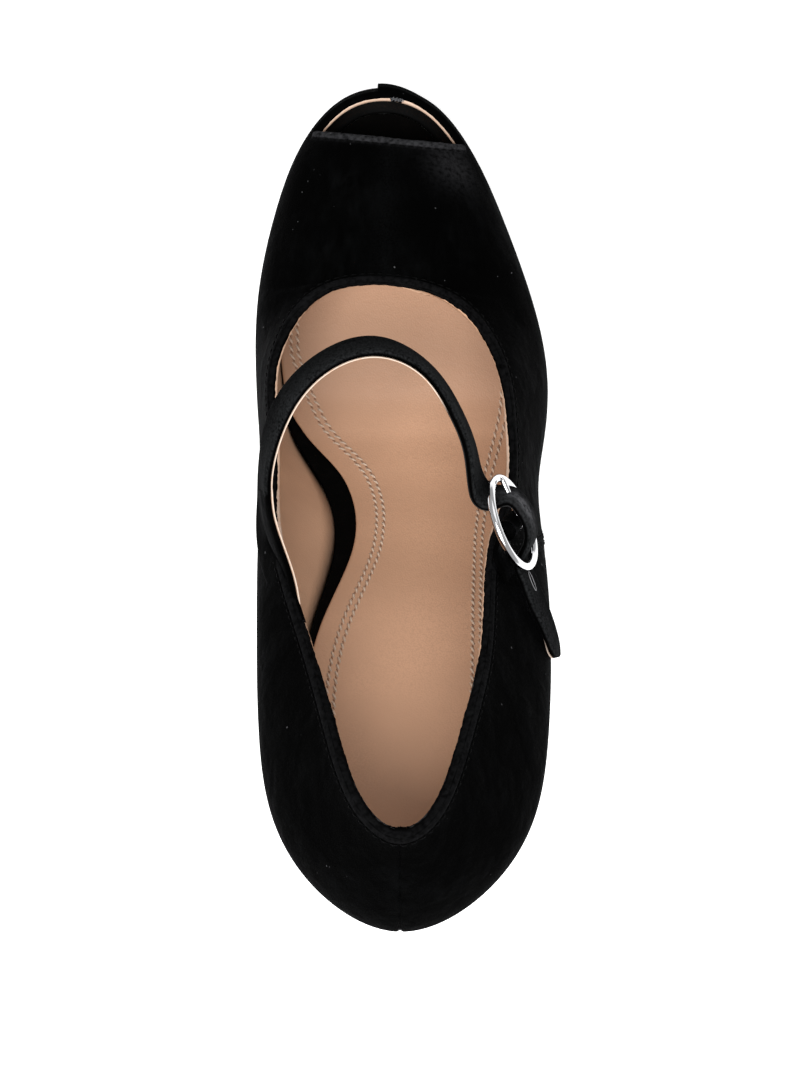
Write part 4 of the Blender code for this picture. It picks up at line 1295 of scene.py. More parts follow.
def layer_faces(quads, total):
    """Faces of a layer: its outer quads, its inner ones turned round, and a band along every border."""
    edges = np.concatenate([quads[:, [k, (k + 1) % 4]] for k in range(4)])
    keys = np.sort(edges, axis=1)
    _, first, uses = np.unique(keys, axis=0, return_index=True, return_counts=True)
    border = edges[first[uses == 1]]
    band = np.stack([border[:, 1], border[:, 0], border[:, 0] + total, border[:, 1] + total], axis=1)
    return np.concatenate([quads, quads[:, ::-1] + total, band])


def soft_patch(station, height, at_station, at_height, reach, spread):
    """A soft patch of the wall: a bell curve over station and height round one place."""
    return np.exp(-(((station - at_station) / reach) ** 2) - ((height - at_height) / spread) ** 2)


def wall_relief(station, height):
    """How far the velvet stands out from the plain wall: the sunk back seam plus soft dents and a swell."""
    relief = -BACK_SEAM_DEPTH * bell(station - STATIONS["back seam"], BACK_SEAM_REACH)
    for _, rib, past, out, at_height, reach, spread in WALL_DENTS:
        relief = relief + out * soft_patch(station, height, STATIONS[rib] + past, at_height, reach, spread)
    return relief


def brushed_nap_and_sheen(station, height):
    """Share of lighter pile on the upper: brushed pile, and painted sheen.

    It grows with the square of the height along the top edges, has a soft patch of brushed pile on the
    inner half of the counter, and low on the sides grows evenly downwards as painted sheen.
    """
    edge = NAP_EDGE * np.clip((height - NAP_EDGE_FROM) / NAP_EDGE_REACH, 0, 1) ** 2
    counter = NAP_COUNTER * soft_patch(station, height, STATIONS["inner back"], *NAP_COUNTER_PLACE)
    low = LOW_PAINTED_SHEEN * np.clip((LOW_PAINTED_SHEEN_TO - height) / LOW_PAINTED_SHEEN_TO, 0, 1)
    return edge + counter + low


def vamp_painted_sheen(station, height):
    """Share of painted sheen on the vamp: a band along the peep edge and a patch at its outer corner."""
    from_edge = np.where(station > OUTER_CORNER, station - OUTER_CORNER, INNER_CORNER - station)
    on_vamp = (station > COLLAR_END) & (from_edge >= 0) & (height > RIM_HEIGHT)
    band = PEEP_GLEAM * np.clip(1 - from_edge / PEEP_GLEAM_REACH, 0, 1)
    past_corner = OUTER_CORNER + CORNER_GLEAM_PAST
    corner = CORNER_GLEAM * soft_patch(station, height, past_corner, *CORNER_GLEAM_PLACE)
    return np.where(on_vamp, band + corner, 0.0)


def collar_edge(stations):
    """Edge points of the collar, outward normals of the wall there and the way down the wall."""
    edge = wall(stations, TOP_HEIGHT)
    normal = wall_normal(stations, COLLAR_NORMAL_HEIGHT, 0.0, COLLAR_END)
    share = bell(np.minimum(stations, COLLAR_END - stations), THROAT_REACH)[:, None]
    normal = unit(normal * (1 - share) + THROAT_NORMAL * share)
    return edge_frame(edge, normal, DOWN, True)


def edge_frame(edge, normal, towards, closed):
    """Normals made square to an edge line, and the direction in the wall away from the edge."""
    if closed:
        tangent = unit(np.roll(edge, -1, axis=0) - np.roll(edge, 1, axis=0))
    else:
        tangent = unit(np.gradient(edge, axis=0))
    normal = unit(normal - tangent * (normal * tangent).sum(axis=1, keepdims=True))
    away = np.cross(tangent, normal)
    middle = len(edge) // 4
    return edge, normal, away * np.sign(away[middle] @ towards)


def roll_rings(edge, normal, away, raw):
    """Rolled edge as rings: the profile's points measured away from the edge and along the normal.

    A positive raw share draws the inner part of the profile back towards the outer face, a negative one
    draws it further in over the lining. A sum of sines along the edge makes its crest uneven.
    """
    down, out = ROLL_PROFILE[:, 0][None], ROLL_PROFILE[:, 1][None]
    inner = np.clip((-out - RAW_FROM) / RAW_OVER, 0, 1)
    out = out + raw[:, None] * inner * RAW_DRAW
    run = travel(edge)[:, None]
    fuzz = EDGE_FUZZ * sum(np.sin(pace * run + phase) for pace, phase in EDGE_FUZZ_WAVES)
    down = down + fuzz * bell(down, EDGE_FUZZ_REACH)
    return edge[:, None] + down[..., None] * away[:, None] + out[..., None] * normal[:, None]


def row_along(edge, normal, away):
    """Line for a stitch row beside an edge, and its normals."""
    return edge + away * EDGE_ROW + normal * EDGE_ROW_LIFT, normal


class PUMP_OT_upper(bpy.types.Operator):
    """Velvet outer layer and leather lining of the upper"""

    bl_idname = "pump.upper"
    bl_label = "Upper and lining"

    def execute(self, context):
        velvet_thick = context.scene.pump.sizes.velvet_thick / MM
        points, quads, normals, station, height, columns = shell_grid()
        widest, outward, _, _ = ribs_at(station[:columns])
        lap = lap_offset(widest)[:, None] * np.column_stack([outward, np.zeros(columns)])
        lapped = np.tile(lap, (len(points) // columns, 1))
        outer = points + normals * wall_relief(station, height)[:, None] + lapped
        middle = inside_wall(points, normals, station, columns, velvet_thick)
        inner = inside_wall(points, normals, station, columns, WALL)
        arch = (STATIONS["inner arch"] + STATIONS["inner waist"]) / 2
        swell = LINING_SWELL * soft_patch(station, height, arch, *LINING_SWELL_PLACE)
        inner = inner - normals * swell[:, None]
        faces = layer_faces(quads, len(points))
        used, faces = np.unique(faces, return_inverse=True)
        faces = faces.reshape(-1, 4)
        # Shares of brushed pile with painted sheen, and of painted sheen alone, at every point of the velvet
        nap_and_sheen = np.tile(brushed_nap_and_sheen(station, height), 2)[used]
        painted_sheen = np.tile(vamp_painted_sheen(station, height), 2)[used]
        velvet = np.concatenate([outer, middle])[used]
        add_piece("upper_velvet", velvet, faces, "pump velvet", ("upper",), {"nap_and_sheen": nap_and_sheen, "painted_sheen": painted_sheen})
        toe = (station >= INNER_CORNER) & (station <= OUTER_CORNER)
        raw = np.where(station <= COLLAR_END, raw_edge_share(station), 0.0)
        toe_cut = TOE_RAW * (np.abs(height - RIM_HEIGHT) < RIM_EDGE_BAND)
        cut = np.where(toe, toe_cut, np.maximum(raw, 0.0) * (height > RAW_EDGE_FROM))
        covered = (raw < DARK_EDGE_BELOW) & (height > DARK_EDGE_FROM)
        dark = np.where(toe, height < RIM_HEIGHT - RIM_EDGE_BAND, covered)
        lining = np.concatenate([middle - normals * LAYER_SPACE, inner])[used]
        add_piece("upper_lining", lining, faces, "lining leather", (),
                  {"cut": np.tile(cut, 2)[used], "dark": np.tile(dark, 2)[used]})
        return {"FINISHED"}


def raw_edge_share(stations):
    """Raw share of the collar's edge: straight between the ribs, times slow and fine sines that fray it."""
    knots = np.array([STATIONS[row[0]] for row in RAW_EDGE_PLAN] + [COLLAR_END])
    values = column(RAW_EDGE_PLAN, 1)
    share = np.interp(stations, knots, np.concatenate([values, values[:1]]))
    slow = RAW_FRAY * np.sin(RAW_FRAY_PACE * stations) * np.sin(RAW_FRAY_DRIFT * stations)
    fine = RAW_FRAY_FINE * np.sin(RAW_FRAY_FINE_PACE * stations)
    return share * (1 + slow + fine)


def peep_edge(count):
    """Front edge of the vamp from the inner corner over the ridge to the outer corner, with its frame."""
    climb = np.linspace(RIM_HEIGHT, TOP_HEIGHT, count)
    inner = wall(np.full(count, INNER_CORNER), climb)
    outer = wall(np.full(count, OUTER_CORNER), climb[::-1])
    before = np.full(count, INNER_CORNER - PEEP_NORMAL_BACK)
    after = np.full(count, OUTER_CORNER + PEEP_NORMAL_BACK)
    inner_normal = wall_normal(before, climb, COLLAR_END, INNER_CORNER)
    outer_normal = wall_normal(after, climb[::-1], OUTER_CORNER, ROUND)
    edge = np.concatenate([inner, outer[1:]])
    normal = np.concatenate([inner_normal, outer_normal[1:]])
    return edge_frame(edge, normal, BACKWARD, False)


def rim_edge(start, end, lapped):
    """Top edge of the toe rim between two stations, with its frame."""
    stations = np.linspace(start, end, 90)
    edge = wall(stations, RIM_HEIGHT)
    normal = wall_normal(stations, RIM_HEIGHT - RIM_NORMAL_DROP, 0.0, ROUND)
    if lapped:
        widest, outward, _, _ = ribs_at(stations)
        edge = edge + lap_offset(widest)[:, None] * np.column_stack([outward, np.zeros(len(edge))])
    return edge_frame(edge, normal, DOWN, False)


class PUMP_OT_edges(bpy.types.Operator):
    """Rolled velvet edges of collar, peep toe and toe rim, with their stitch rows and the lap's fibres"""

    bl_idname = "pump.edges"
    bl_label = "Rolled edges"

    def execute(self, context):
        sizes = context.scene.pump.sizes
        stations = even_stations(0.0, COLLAR_END, 760)[:-1]
        collar = collar_edge(stations)
        rings = roll_rings(*collar, raw_edge_share(stations))
        # Painted sheen on the outer part of the collar's roll
        roll_sheen = np.tile(ROLL_GLEAM * (ROLL_PROFILE[:, 1] > ROLL_GLEAM_TO), len(stations))
        add_loft("collar_roll", rings, "pump velvet trim", (), True, {"painted_sheen": roll_sheen})
        peep = peep_edge(90)
        plain = np.zeros(len(peep[0]))
        # Painted sheen all along the roll of the peep edge
        light = np.full(len(plain) * len(ROLL_PROFILE), PEEP_GLEAM)
        add_loft("peep_roll", roll_rings(*peep, plain), "pump velvet trim", attributes={"painted_sheen": light})
        inner = rim_edge(INNER_CORNER - RIM_PAST_CORNER, station_at_x(LAP_INSIDE_X), False)
        outer = rim_edge(station_at_x(LAP_X) + RIM_PAST_LAP, OUTER_CORNER + RIM_PAST_CORNER, True)
        for side, rim in (("inner", inner), ("outer", outer)):
            add_loft("toe_rim_" + side, roll_rings(*rim, rim_raw(rim[0])), "pump velvet trim")
        wisps = [lap_wisps(inner[0], phase) for phase in FRAY_PHASES]
        add_stitches("lap_fray", wisps, "frayed pile", FRAY_PITCH, FRAY_WIRE, FRAY_SHARE, FRAY_SLANT)
        closed = [np.concatenate([part, part[:1]]) for part in collar]
        add_stitches("edge_stitches", [row_along(*closed), row_along(*peep)], "black thread",
                     sizes.stitch_pitch / MM, sizes.stitch_wire / MM)
        return {"FINISHED"}


def rim_raw(edge):
    """Share of raw edge along the toe rim: less towards its corners and none at the lap."""
    from_middle = np.clip(np.abs(edge[:, 0] - RIM_MIDDLE_X) / RIM_HALF, 0, 1)
    at_lap = (edge[:, 0] > FRAY_FROM_X) & (edge[:, 0] < LAP_INSIDE_X)
    return np.where(at_lap, 0.0, TOE_RIM_RAW * (1 - RIM_TAPER * from_middle ** 2))


def lap_wisps(edge, phase):
    """Wavy line on the rim's lap for loose fibres: the edge, moved inwards, plus a sine in Y."""
    x = np.linspace(FRAY_FROM_X, LAP_INSIDE_X, 60)
    order = np.argsort(edge[:, 0])
    line = along_line(x, edge[order, 0], edge[order]) + FRAY_SHIFT
    line[:, 1] += FRAY_WAVE * np.sin(FRAY_TURNS * x + phase)
    return line, np.repeat(-DOWN[None], len(x), axis=0)


def quarter_seam(seam, count):
    """Stations and heights along the front edge of one quarter panel, from the collar to the sole.

    It runs straight between its ends, plus a half sine that bows it backwards.
    """
    _, first, last, upper_y, lower_y, upper_height, back = seam
    side = np.linspace(STATIONS[first], STATIONS[last], 800)
    order = np.argsort(ribs_at(side)[0][:, 1])
    ends = np.interp([upper_y, lower_y], ribs_at(side)[0][order, 1], side[order])
    share = np.linspace(0, 1, count)
    bow = SEAM_BOW * np.sin(math.pi * share)
    stations = ends[0] + (ends[1] - ends[0]) * share + back * bow
    return stations, upper_height + (SEAM_LOW_HEIGHT - upper_height) * share, back


def seam_points(stations, heights, back, behind, out):
    """Points on the wall at distances behind a seam line, lifted off the wall."""
    place = stations[:, None] + back * behind
    level = np.broadcast_to(heights[:, None], place.shape)
    return wall(place, level) + wall_normal(place, level, 0.0, COLLAR_END) * out[..., None]


class PUMP_OT_seams(bpy.types.Operator):
    """Lapped front edges of the quarter panels, with double stitch rows"""

    bl_idname = "pump.seams"
    bl_label = "Quarter seams"

    def execute(self, context):
        sizes = context.scene.pump.sizes
        count = 120
        behind = SEAM_PROFILE[:, 0][None]
        out = np.broadcast_to(SEAM_PROFILE[:, 1], (count, len(SEAM_PROFILE)))
        rows = []
        for seam in QUARTER_SEAMS:
            line = quarter_seam(seam, count)
            add_loft(seam[0] + "_quarter_edge", seam_points(*line, behind, out), "pump velvet trim")
            normals = wall_normal(line[0], line[1], 0.0, COLLAR_END)
            for distance in SEAM_ROWS:
                lift = np.full((count, 1), SEAM_ROW_LIFT)
                rows.append((seam_points(*line, np.full((1, 1), distance), lift)[:, 0], normals))
        add_stitches("quarter_stitches", rows, "black thread", sizes.stitch_pitch / MM,
                     sizes.stitch_wire / MM)
        return {"FINISHED"}


class PUMP_OT_strap(bpy.types.Operator):
    """Velvet strap with its leather backing, the rim of its spare hole and the wing at its root"""

    bl_idname = "pump.strap"
    bl_label = "Strap"

    def execute(self, context):
        backing = context.scene.pump.sizes.backing_thick / MM
        cover = STRAP_THICK - backing
        count = 420
        path, across = strap_path(count)
        left = np.linalg.norm(path - path[-1], axis=1)
        tip = np.clip(left / (STRAP_WIDTH / 2), STRAP_TIP_BLUNT, 1.0)
        narrow = np.stack([np.sqrt(1 - (1 - tip) ** 2), np.ones(count)], axis=1)[:, None]
        outline = round_band(STRAP_WIDTH, cover) + np.array([0.0, backing / 2])
        share = np.arange(count)[:, None] / count
        # Painted sheen on the strap's face: it grows once the strap is free of the quarter and is lighter
        # towards its upper edge
        face = outline[:, 1] > STRAP_FACE_FROM
        free = np.clip((share - STRAP_PAINTED_SHEEN_FROM) / (STRAP_PAINTED_SHEEN_FULL - STRAP_PAINTED_SHEEN_FROM), 0, 1)
        upper_side = np.clip(outline[:, 0] / STRAP_WIDTH + STRAP_PAINTED_SHEEN_SIDE, 0, 1)
        nap_and_sheen = STRAP_PAINTED_SHEEN * free * upper_side * face
        # Painted sheen band at the strap's crest beside the buckle
        away = np.linalg.norm(path - in_buckle(GLEAM_SPOT), axis=1)[:, None]
        painted_sheen = GLEAM_STRENGTH * bell(away, GLEAM_REACH) * face
        painted_sheen = painted_sheen * bell(outline[:, 0] - GLEAM_ACROSS, GLEAM_WIDTH)
        add_loft("strap_velvet", carry(path, across, outline[None] * narrow), "strap velvet", ("strap",),
                 attributes={"nap_and_sheen": nap_and_sheen.ravel(), "painted_sheen": painted_sheen.ravel()})
        under = round_band(STRAP_WIDTH, backing)
        cut = np.tile(np.abs(under[:, 0]) > STRAP_WIDTH / 2 - backing, count)
        places = column(STRAP_BACKING, 1)
        width = np.interp(share, places, column(STRAP_BACKING, 2))
        under = under[None] * np.stack([width, np.ones_like(width)], axis=-1)
        under = under + np.array([BACKING_SHIFT, -cover / 2])
        # Painted shade: the tan backing is drawn black past the buckle, where it lies in the strap's shade
        black = np.repeat(np.interp(share, places, column(STRAP_BACKING, 3)), under.shape[1])
        add_loft("strap_backing", carry(path, across, under * narrow), "lining leather",
                 attributes={"cut": cut, "dark": black})
        add_strap_hole(path, across)
        add_wing(60)
        return {"FINISHED"}


def add_wing(count):
    """Wing that rounds the corner between the inner quarter's topline and the strap, with its lining.

    Its edge is a spline from the topline to the strap's upper edge. The profile is carried along it, down
    towards the quarter and through the wing's thickness.
    """
    knots = numbers(WING_EDGE)
    edge = spline(knots[:, 1], knots, np.linspace(knots[0, 1], knots[-1, 1], count))
    drop = np.repeat(WING_DROP[None], count, axis=0)
    normal = unit(np.cross(np.gradient(edge, axis=0), drop))
    normal = normal * -np.sign(normal[:, :1])
    down, deep = WING_PROFILE[None, :, :1], WING_PROFILE[None, :, 1:]
    sheet = edge[:, None] + down * drop[:, None]
    velvet = sheet + (WING_OUT - WING_VELVET * deep) * normal[:, None]
    add_loft("wing_velvet", velvet, "pump velvet")
    sheet = edge[:, None] + (down - WING_LINING_RISE) * drop[:, None]
    lining = sheet + (WING_OUT - WING_VELVET - WING_LINING * deep) * normal[:, None]
    cut = np.tile(WING_PROFILE[:, 0] < WING_CUT_SHARE, count)
    add_loft("wing_lining", lining, "lining leather", attributes={"cut": cut})


def ring_rings(path, middle, wire, outward):
    """Round wire bent into a flat closed ring: circles that stand on the spokes from its middle."""
    side = unit(path - middle)
    return path[:, None] + wire[None, :, :1] * side[:, None] + wire[None, :, 1:] * outward


def add_strap_hole(path, across):
    """Pale rim of the spare hole behind the buckle: a thin oval ring that lies on the strap."""
    along = buckle_frame()[0]
    place = np.argmin(np.linalg.norm(path - BUCKLE_CENTRE - along * STRAP_HOLE_ALONG, axis=1))
    tangent = unit(path[place + 1] - path[place - 1])
    side = unit(across[place] - tangent * (across[place] @ tangent))
    normal = np.cross(side, tangent)
    turn = np.linspace(0, 2 * math.pi, 48, endpoint=False)[:, None]
    spoke = STRAP_HOLE_LONG * np.cos(turn) * tangent + STRAP_HOLE_WIDE * np.sin(turn) * side
    middle = path[place] + normal * (STRAP_THICK / 2 + STRAP_HOLE_LIFT)
    rings = ring_rings(middle + spoke, middle, circle(STRAP_HOLE_WIRE, 10), normal)
    add_loft("strap_hole_rim", rings, "worn hole edge", (), True)


def bar_rings(half, radius):
    """Round bar across the buckle's middle, as rings."""
    ends = in_buckle(np.linspace((0, -half, 0), (0, half, 0), 12))
    return carry(ends, buckle_frame()[0], circle(radius, 20)[None])


def curl_round_bar(radius, bend, count):
    """Arc round the buckle's bar from one angle to another in degrees, in the buckle's own directions."""
    turn = np.radians(np.linspace(*bend, count))
    return np.stack([radius * np.cos(turn), np.zeros_like(turn), radius * np.sin(turn)], axis=1)


class PUMP_OT_buckle(bpy.types.Operator):
    """Polished ring with its bar and the bar's cover, the prong and the tab"""

    bl_idname = "pump.buckle"
    bl_label = "Buckle"

    def execute(self, context):
        _, across, outward = buckle_frame()
        turn = np.linspace(0, 2 * math.pi, 144, endpoint=False)
        oval = np.stack([RING_LONG * np.cos(turn), RING_ACROSS * np.sin(turn), np.zeros_like(turn)], axis=1)
        rings = ring_rings(in_buckle(oval), BUCKLE_CENTRE, circle(RING_WIRE, 24), outward)
        add_loft("buckle_ring", rings, "polished metal", ("buckle",), True)
        add_loft("buckle_bar", bar_rings(RING_ACROSS - BAR_IN_RING, BAR_WIRE), "polished metal")
        sleeve = bar_rings(BAR_SLEEVE_HALF, BAR_WIRE + BAR_SLEEVE)
        add_loft("buckle_bar_sleeve", sleeve, "pump velvet trim")
        curl = curl_round_bar(BAR_WIRE + GAP + PRONG_WIRE, PRONG_BEND, 24)
        tip = (-RING_LONG - PRONG_OVERHANG, 0, RING_WIRE + GAP + PRONG_WIRE)
        shaft = np.linspace(curl[-1], tip, 40)[1:]
        prong = in_buckle(np.concatenate([curl, shaft]))
        slim = np.ones(len(prong))
        slim[-8:] = np.sqrt(1 - np.linspace(0, PRONG_TIP, 8) ** 2)
        outline = circle(PRONG_WIRE, 20)[None] * slim[:, None, None]
        add_loft("buckle_prong", carry(prong, across, outline), "polished metal", ("prong",))
        curl = curl_round_bar(BAR_WIRE + GAP + TAB_THICK / 2, TAB_BEND, 40)
        knots = np.concatenate([numbers(TAB_LEAD), curl[::8]])
        run = travel(knots)
        tab = in_buckle(spline(run, knots, np.linspace(0, run[-1], 90)))
        outline = round_band(TAB_WIDTH, TAB_THICK) + np.array([TAB_RAISE, 0.0])
        add_loft("buckle_tab_velvet", carry(tab, across, outline[None]), "pump velvet trim", ("buckle_tab",))
        return {"FINISHED"}


def plate_rings(edges, low, high, back, front, count, bay=None, round_edge=0.4, crown=None):
    """Layer of the sole as rings across the shoe from back to front.

    Each ring runs along the top from the inner to the outer edge and back underneath. Its edges are
    rounded off by a quarter ellipse, and a crown may lift the top.
    """
    turn = np.linspace(0, math.pi, count)
    y = back + (front - back) * (1 - np.cos(turn)) / 2
    inner, outer = edge_at(edges[0], y), edge_at(edges[1], y)
    if bay is not None:
        inner = inner + bay(y)
    share = (1 - np.cos(np.linspace(0, math.pi, 41))) / 2
    x = inner[:, None] + (outer - inner)[:, None] * share
    from_edge = np.minimum(x - inner[:, None], outer[:, None] - x)
    from_edge = np.minimum(from_edge, np.minimum(y - back, front - y)[:, None] + PLATE_END_EASE)
    dip = round_edge * (1 - np.sqrt(1 - (1 - np.clip(from_edge / round_edge, 0, 1)) ** 2))
    ys = np.broadcast_to(y[:, None], x.shape)
    top_z = sole_height(y, high)[:, None] - dip
    if crown is not None:
        top_z = top_z + crown(x, ys) * np.clip(from_edge / CROWN_EASE, 0, 1)
    low_z = np.broadcast_to(sole_height(y, low)[:, None], x.shape)
    top = np.stack([x, ys, top_z], axis=-1)
    bottom = np.stack([x, ys, low_z], axis=-1)[:, ::-1]
    return np.concatenate([top, bottom], axis=1)


def heel_rings(levels, around):
    """Heel block as level rings from the lift to the seat.

    The seat's outline is drawn in towards the lift by a straight share plus a power of the height.
    """
    inner_edge, outer_edge = bottom_edge(HEEL_TOP_INSET)
    share = 1 - np.cos(np.linspace(0, math.pi / 2, around))
    seat_back = inner_edge[:, 1].min() + PLATE_TIP
    seat_y = seat_back + (HEEL_BREAST_Y - seat_back) * share
    foot_y = LIFT_BACK_Y + (LIFT_FRONT_Y - LIFT_BACK_Y) * share
    seat_z = sole_height(seat_y, OUTSOLE_THICK)
    half = lift_edges(foot_y)
    rise = np.linspace(0, 1, levels)[:, None]
    drawn = HEEL_DRAW_EVEN * rise + (1 - HEEL_DRAW_EVEN) * rise**HEEL_DRAW_POWER
    z = LIFT_THICK + GAP + (seat_z - LIFT_THICK - GAP) * rise
    y = foot_y + (seat_y - foot_y) * drawn
    inner_x = LIFT_CENTRE_X - half + (edge_at(inner_edge, seat_y) - LIFT_CENTRE_X + half) * drawn
    outer_x = LIFT_CENTRE_X + half + (edge_at(outer_edge, seat_y) - LIFT_CENTRE_X - half) * drawn
    inner = np.stack([inner_x, y, z], axis=-1)[:, ::-1]
    outer = np.stack([outer_x, y, z], axis=-1)
    return np.concatenate([inner, outer], axis=1)


def lift_rings(around):
    """Top lift as two level rings, the floor's and the heel's, straight in front and round at the back."""
    y = LIFT_BACK_Y + (LIFT_FRONT_Y - LIFT_BACK_Y) * (1 - np.cos(np.linspace(0, math.pi / 2, around)))
    half = lift_edges(y)
    x = np.concatenate([LIFT_CENTRE_X - half[::-1], LIFT_CENTRE_X + half])
    plan = np.column_stack([x, np.concatenate([y[::-1], y])])
    return np.stack([np.column_stack([plan, np.full(len(plan), z)]) for z in (0.0, LIFT_THICK)])


def bevel(piece, width):
    """Rounds the sharp edges of a piece."""
    rounding = piece.modifiers.new("rounded edges", "BEVEL")
    rounding.width = width * MM
    rounding.segments = 3
    rounding.limit_method = "ANGLE"
    rounding.angle_limit = math.radians(50)


class PUMP_OT_bottom(bpy.types.Operator):
    """Outsole, insole, heel and top lift"""

    bl_idname = "pump.bottom"
    bl_label = "Sole and heel"

    def execute(self, context):
        edges = bottom_edge(-OUTSOLE_WELT)
        back, front = HEEL_BREAST_Y + BREAST_SETBACK, edges[0][:, 1].max() - PLATE_TIP
        rings = plate_rings(edges, 0.0, OUTSOLE_THICK, back, front, 160, round_edge=OUTSOLE_ROUND)
        add_loft("outsole_leather", rings, "black sole leather", ("outsole",))
        bevel(add_loft("heel_cover", heel_rings(60, 60), "heel velvet", ("heel",)), HEEL_BEVEL)
        edges = bottom_edge(INSOLE_CLEARANCE, True)
        back, front = edges[0][:, 1].min() + PLATE_TIP, edges[0][:, 1].max() - PLATE_TIP
        rings = plate_rings(edges, FEATHER, INSOLE_TOP, back, front, 200)
        add_loft("insole_cover", rings, "black insole leather", ("insole",))
        bevel(add_loft("heel_lift", lift_rings(60), "lift rubber", ("top_lift",)), LIFT_BEVEL)
        return {"FINISHED"}


def sock_crown(x, y):
    """Soft padding of the sock: low swells under the ball and the heel, each a bell over x and y."""
    crown = 0.0
    for _, at_x, at_y, rise, reach_x, reach_y in SOCK_SWELLS:
        crown = crown + rise * np.exp(-(((y - at_y) / reach_y) ** 2) - ((x - at_x) / reach_x) ** 2)
    return crown


def sock_row(step):
    """Stitch row of the sock: its outline drawn in by the table's distances and a step between the rows.

    It runs from the front inner end round the heel.
    """
    widest = ribs_at(np.linspace(0, ROUND, OUTLINE_POINTS, endpoint=False))[0]
    outer_share = np.clip(0.5 + widest[:, 0] / SOCK_ROW_BLEND, 0, 1)
    places = column(SOCK_ROWS, 1)
    inner_inset = np.interp(widest[:, 1], places, column(SOCK_ROWS, 2))
    outer_inset = np.interp(widest[:, 1], places, column(SOCK_ROWS, 3))
    inset = step + inner_inset + (outer_inset - inner_inset) * outer_share
    inner, outer = bottom_edge(SOCK_INSET + inset, True)
    inner = inner[inner[:, 1] < SOCK_FRONT_Y - SOCK_ROW_END][::-1]
    outer = outer[outer[:, 1] < SOCK_FRONT_Y - SOCK_ROW_END]
    bay = np.concatenate([sock_bay(inner[:, 1]), np.zeros(len(outer))])
    plan = np.concatenate([inner, outer])
    z = sole_height(plan[:, 1], SOCK_TOP) + sock_crown(plan[:, 0] + bay, plan[:, 1]) * SOCK_ROW_CROWN
    line = np.column_stack([plan[:, 0] + bay, plan[:, 1], z + SOCK_ROW_LIFT])
    along = np.linspace(SOLE_LINE[-1][1], SOLE_LINE[0][1], 800)
    tilt = np.interp(plan[:, 1], along, np.gradient(sole_height(along, SOCK_TOP), along))
    return line, unit(np.column_stack([np.zeros(len(plan)), -tilt, np.ones(len(plan))]))


class PUMP_OT_sock(bpy.types.Operator):
    """Tan leather sock with its double stitch row"""

    bl_idname = "pump.sock"
    bl_label = "Sock"

    def execute(self, context):
        edges = bottom_edge(SOCK_INSET, True)
        back = edges[0][:, 1].min() + PLATE_TIP
        rings = plate_rings(edges, SOCK_BOTTOM, SOCK_TOP, back, SOCK_FRONT_Y, 220, sock_side, SOCK_ROUND,
                            sock_crown)
        # Painted shade of the strap and the vamp's throat over the ball, a bell curve along the shoe
        painted_ball_shade = BALL_PAINTED_SHADE * bell(rings[..., 1].ravel() - BALL_PAINTED_SHADE_Y, BALL_PAINTED_SHADE_REACH)
        add_loft("sock_leather", rings, "sock leather", ("sock",), attributes={"painted_ball_shade": painted_ball_shade})
        rows = [sock_row(0.0), sock_row(context.scene.pump.sizes.sock_row_step / MM)]
        add_stitches("sock_stitches", rows, "tan thread", SOCK_STITCH_PITCH, SOCK_STITCH_WIRE,
                     SOCK_STITCH_SHARE, SOCK_STITCH_SLANT)
        # Painted shade in the needle holes: small dark spindles at the end of each stitch
        add_stitches("sock_needle_holes", rows, "needle hole shade", SOCK_STITCH_PITCH, NEEDLE_HOLE_WIRE,
                     NEEDLE_HOLE_SHARE, SOCK_STITCH_SLANT, 0.0)
        return {"FINISHED"}


class PUMP_OT_stage(bpy.types.Operator):
    """Floor, soft studio light and the camera over the shoe"""

    bl_idname = "pump.stage"
    bl_label = "Stage"

    def execute(self, context):
        scene = context.scene
        stage = scene.pump.stage
        add_floor(tuple(scene.pump.colours.floor))
        world = bpy.data.worlds.new("white surround")
        world.use_nodes = True
        sky = world.node_tree.nodes["Background"]
        sky.inputs["Color"].default_value = (1.0, 1.0, 1.0, 1.0)
        sky.inputs["Strength"].default_value = stage.sky_strength
        scene.world = world
        add_softbox("key light", KEY_PLACE, stage.key_power, KEY_SIZE)
        add_softbox("fill light", FILL_PLACE, stage.key_power * FILL_SHARE, FILL_SIZE)
        camera = bpy.data.cameras.new("camera over shoe")
        camera.sensor_fit = "VERTICAL"
        camera.sensor_height = 36.0
        camera.lens = camera.sensor_height * stage.focal_pixels / PICTURE_HEIGHT
        camera.clip_start = 0.01
        holder = bpy.data.objects.new("camera over shoe", camera)
        holder.location = (0.0, stage.camera_y, stage.camera_height)
        scene.collection.objects.link(holder)
        scene.camera = holder
        scene.view_settings.view_transform = "Standard"
        return {"FINISHED"}


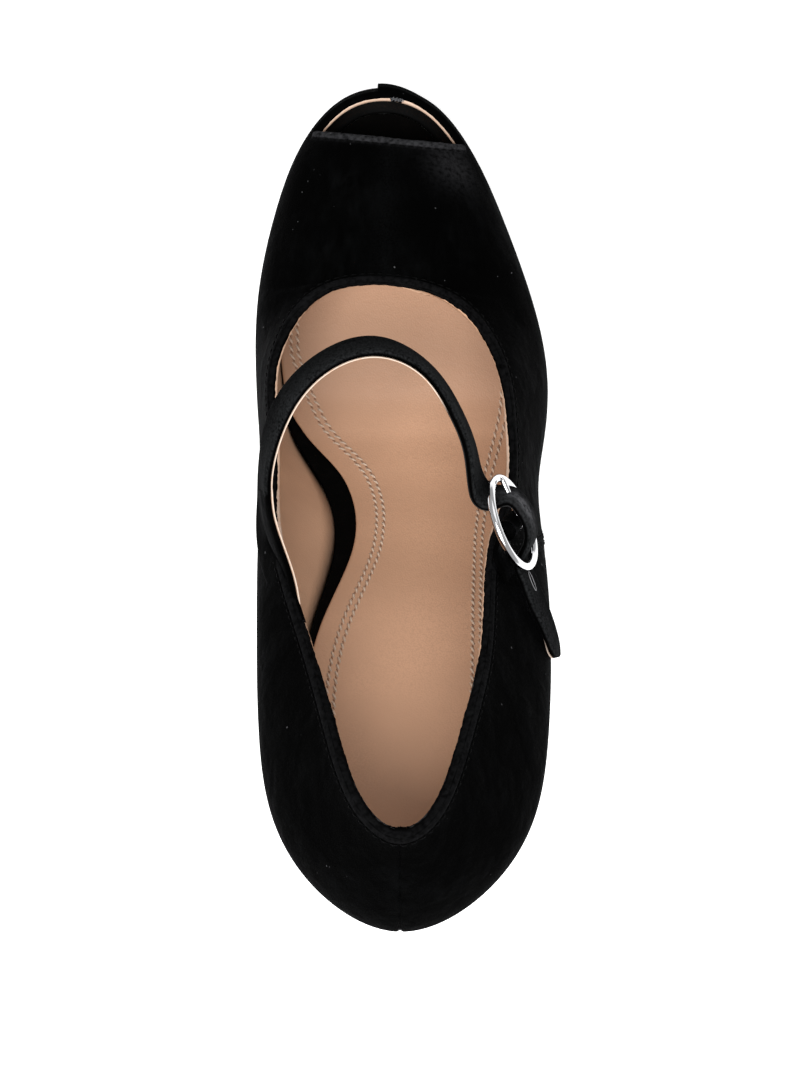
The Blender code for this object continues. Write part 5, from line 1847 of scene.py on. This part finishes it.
def add_floor(colour):
    """Plain pale floor, a wide flat grid."""
    count = 9
    side = np.linspace(-FLOOR_HALF, FLOOR_HALF, count)
    x, y = np.meshgrid(side, side)
    points = np.stack([x, y, np.zeros_like(x)], axis=-1).reshape(-1, 3)
    number = np.arange(count * count).reshape(count, count)
    quads = np.stack([number[:-1, :-1], number[:-1, 1:], number[1:, 1:], number[1:, :-1]], axis=-1)
    mesh = bpy.data.meshes.new("floor")
    mesh.from_pydata(points.tolist(), [], quads.reshape(-1, 4).tolist())
    finish = Finish("pale floor")
    finish.constant(Base_Color=(*colour, 1.0), Roughness=0.9, Specular_IOR_Level=0.1,
                    Emission_Color=(1.0, 1.0, 1.0, 1.0), Emission_Strength=0.3)
    mesh.materials.append(finish.material)
    floor = bpy.data.objects.new("floor", mesh)
    bpy.context.scene.collection.objects.link(floor)


def add_softbox(name, place, power, size):
    """Large square light that looks at the shoe."""
    light = bpy.data.lights.new(name, "AREA")
    light.energy = power
    light.size = size
    holder = bpy.data.objects.new(name, light)
    holder.location = place
    aim = unit(LIGHT_AIM - np.array(place))
    holder.rotation_euler = (math.acos(-aim[2]), 0.0, math.atan2(-aim[0], aim[1]))
    bpy.context.scene.collection.objects.link(holder)


class PUMP_PT_panel(bpy.types.Panel):
    """Steps that build the pump, in order"""

    bl_idname = "PUMP_PT_panel"
    bl_label = "Velvet pump"
    bl_space_type = "VIEW_3D"
    bl_region_type = "UI"
    bl_category = "Pump"

    def draw(self, context):
        for step in STEPS:
            self.layout.operator(step.bl_idname)
        settings = context.scene.pump
        for group in (settings.sizes, settings.colours, settings.stage):
            box = self.layout.box()
            for key in group.bl_rna.properties.keys():
                if key not in ("rna_type", "name"):
                    box.prop(group, key)


STEPS = (
    PUMP_OT_upper, PUMP_OT_edges, PUMP_OT_seams, PUMP_OT_strap,
    PUMP_OT_buckle, PUMP_OT_bottom, PUMP_OT_sock, PUMP_OT_stage,
)
GROUPS = (PumpSizes, PumpColours, PumpStage, PumpSettings)


def register():
    for item in (*GROUPS, *STEPS, PUMP_PT_panel):
        bpy.utils.register_class(item)
    bpy.types.Scene.pump = bpy.props.PointerProperty(type=PumpSettings)


def unregister():
    del bpy.types.Scene.pump
    for item in reversed((*GROUPS, *STEPS, PUMP_PT_panel)):
        bpy.utils.unregister_class(item)


def main():
    register()
    bpy.ops.pump.upper()
    bpy.ops.pump.edges()
    bpy.ops.pump.seams()
    bpy.ops.pump.strap()
    bpy.ops.pump.buckle()
    bpy.ops.pump.bottom()
    bpy.ops.pump.sock()
    bpy.ops.pump.stage()


if __name__ == "__main__":
    main()
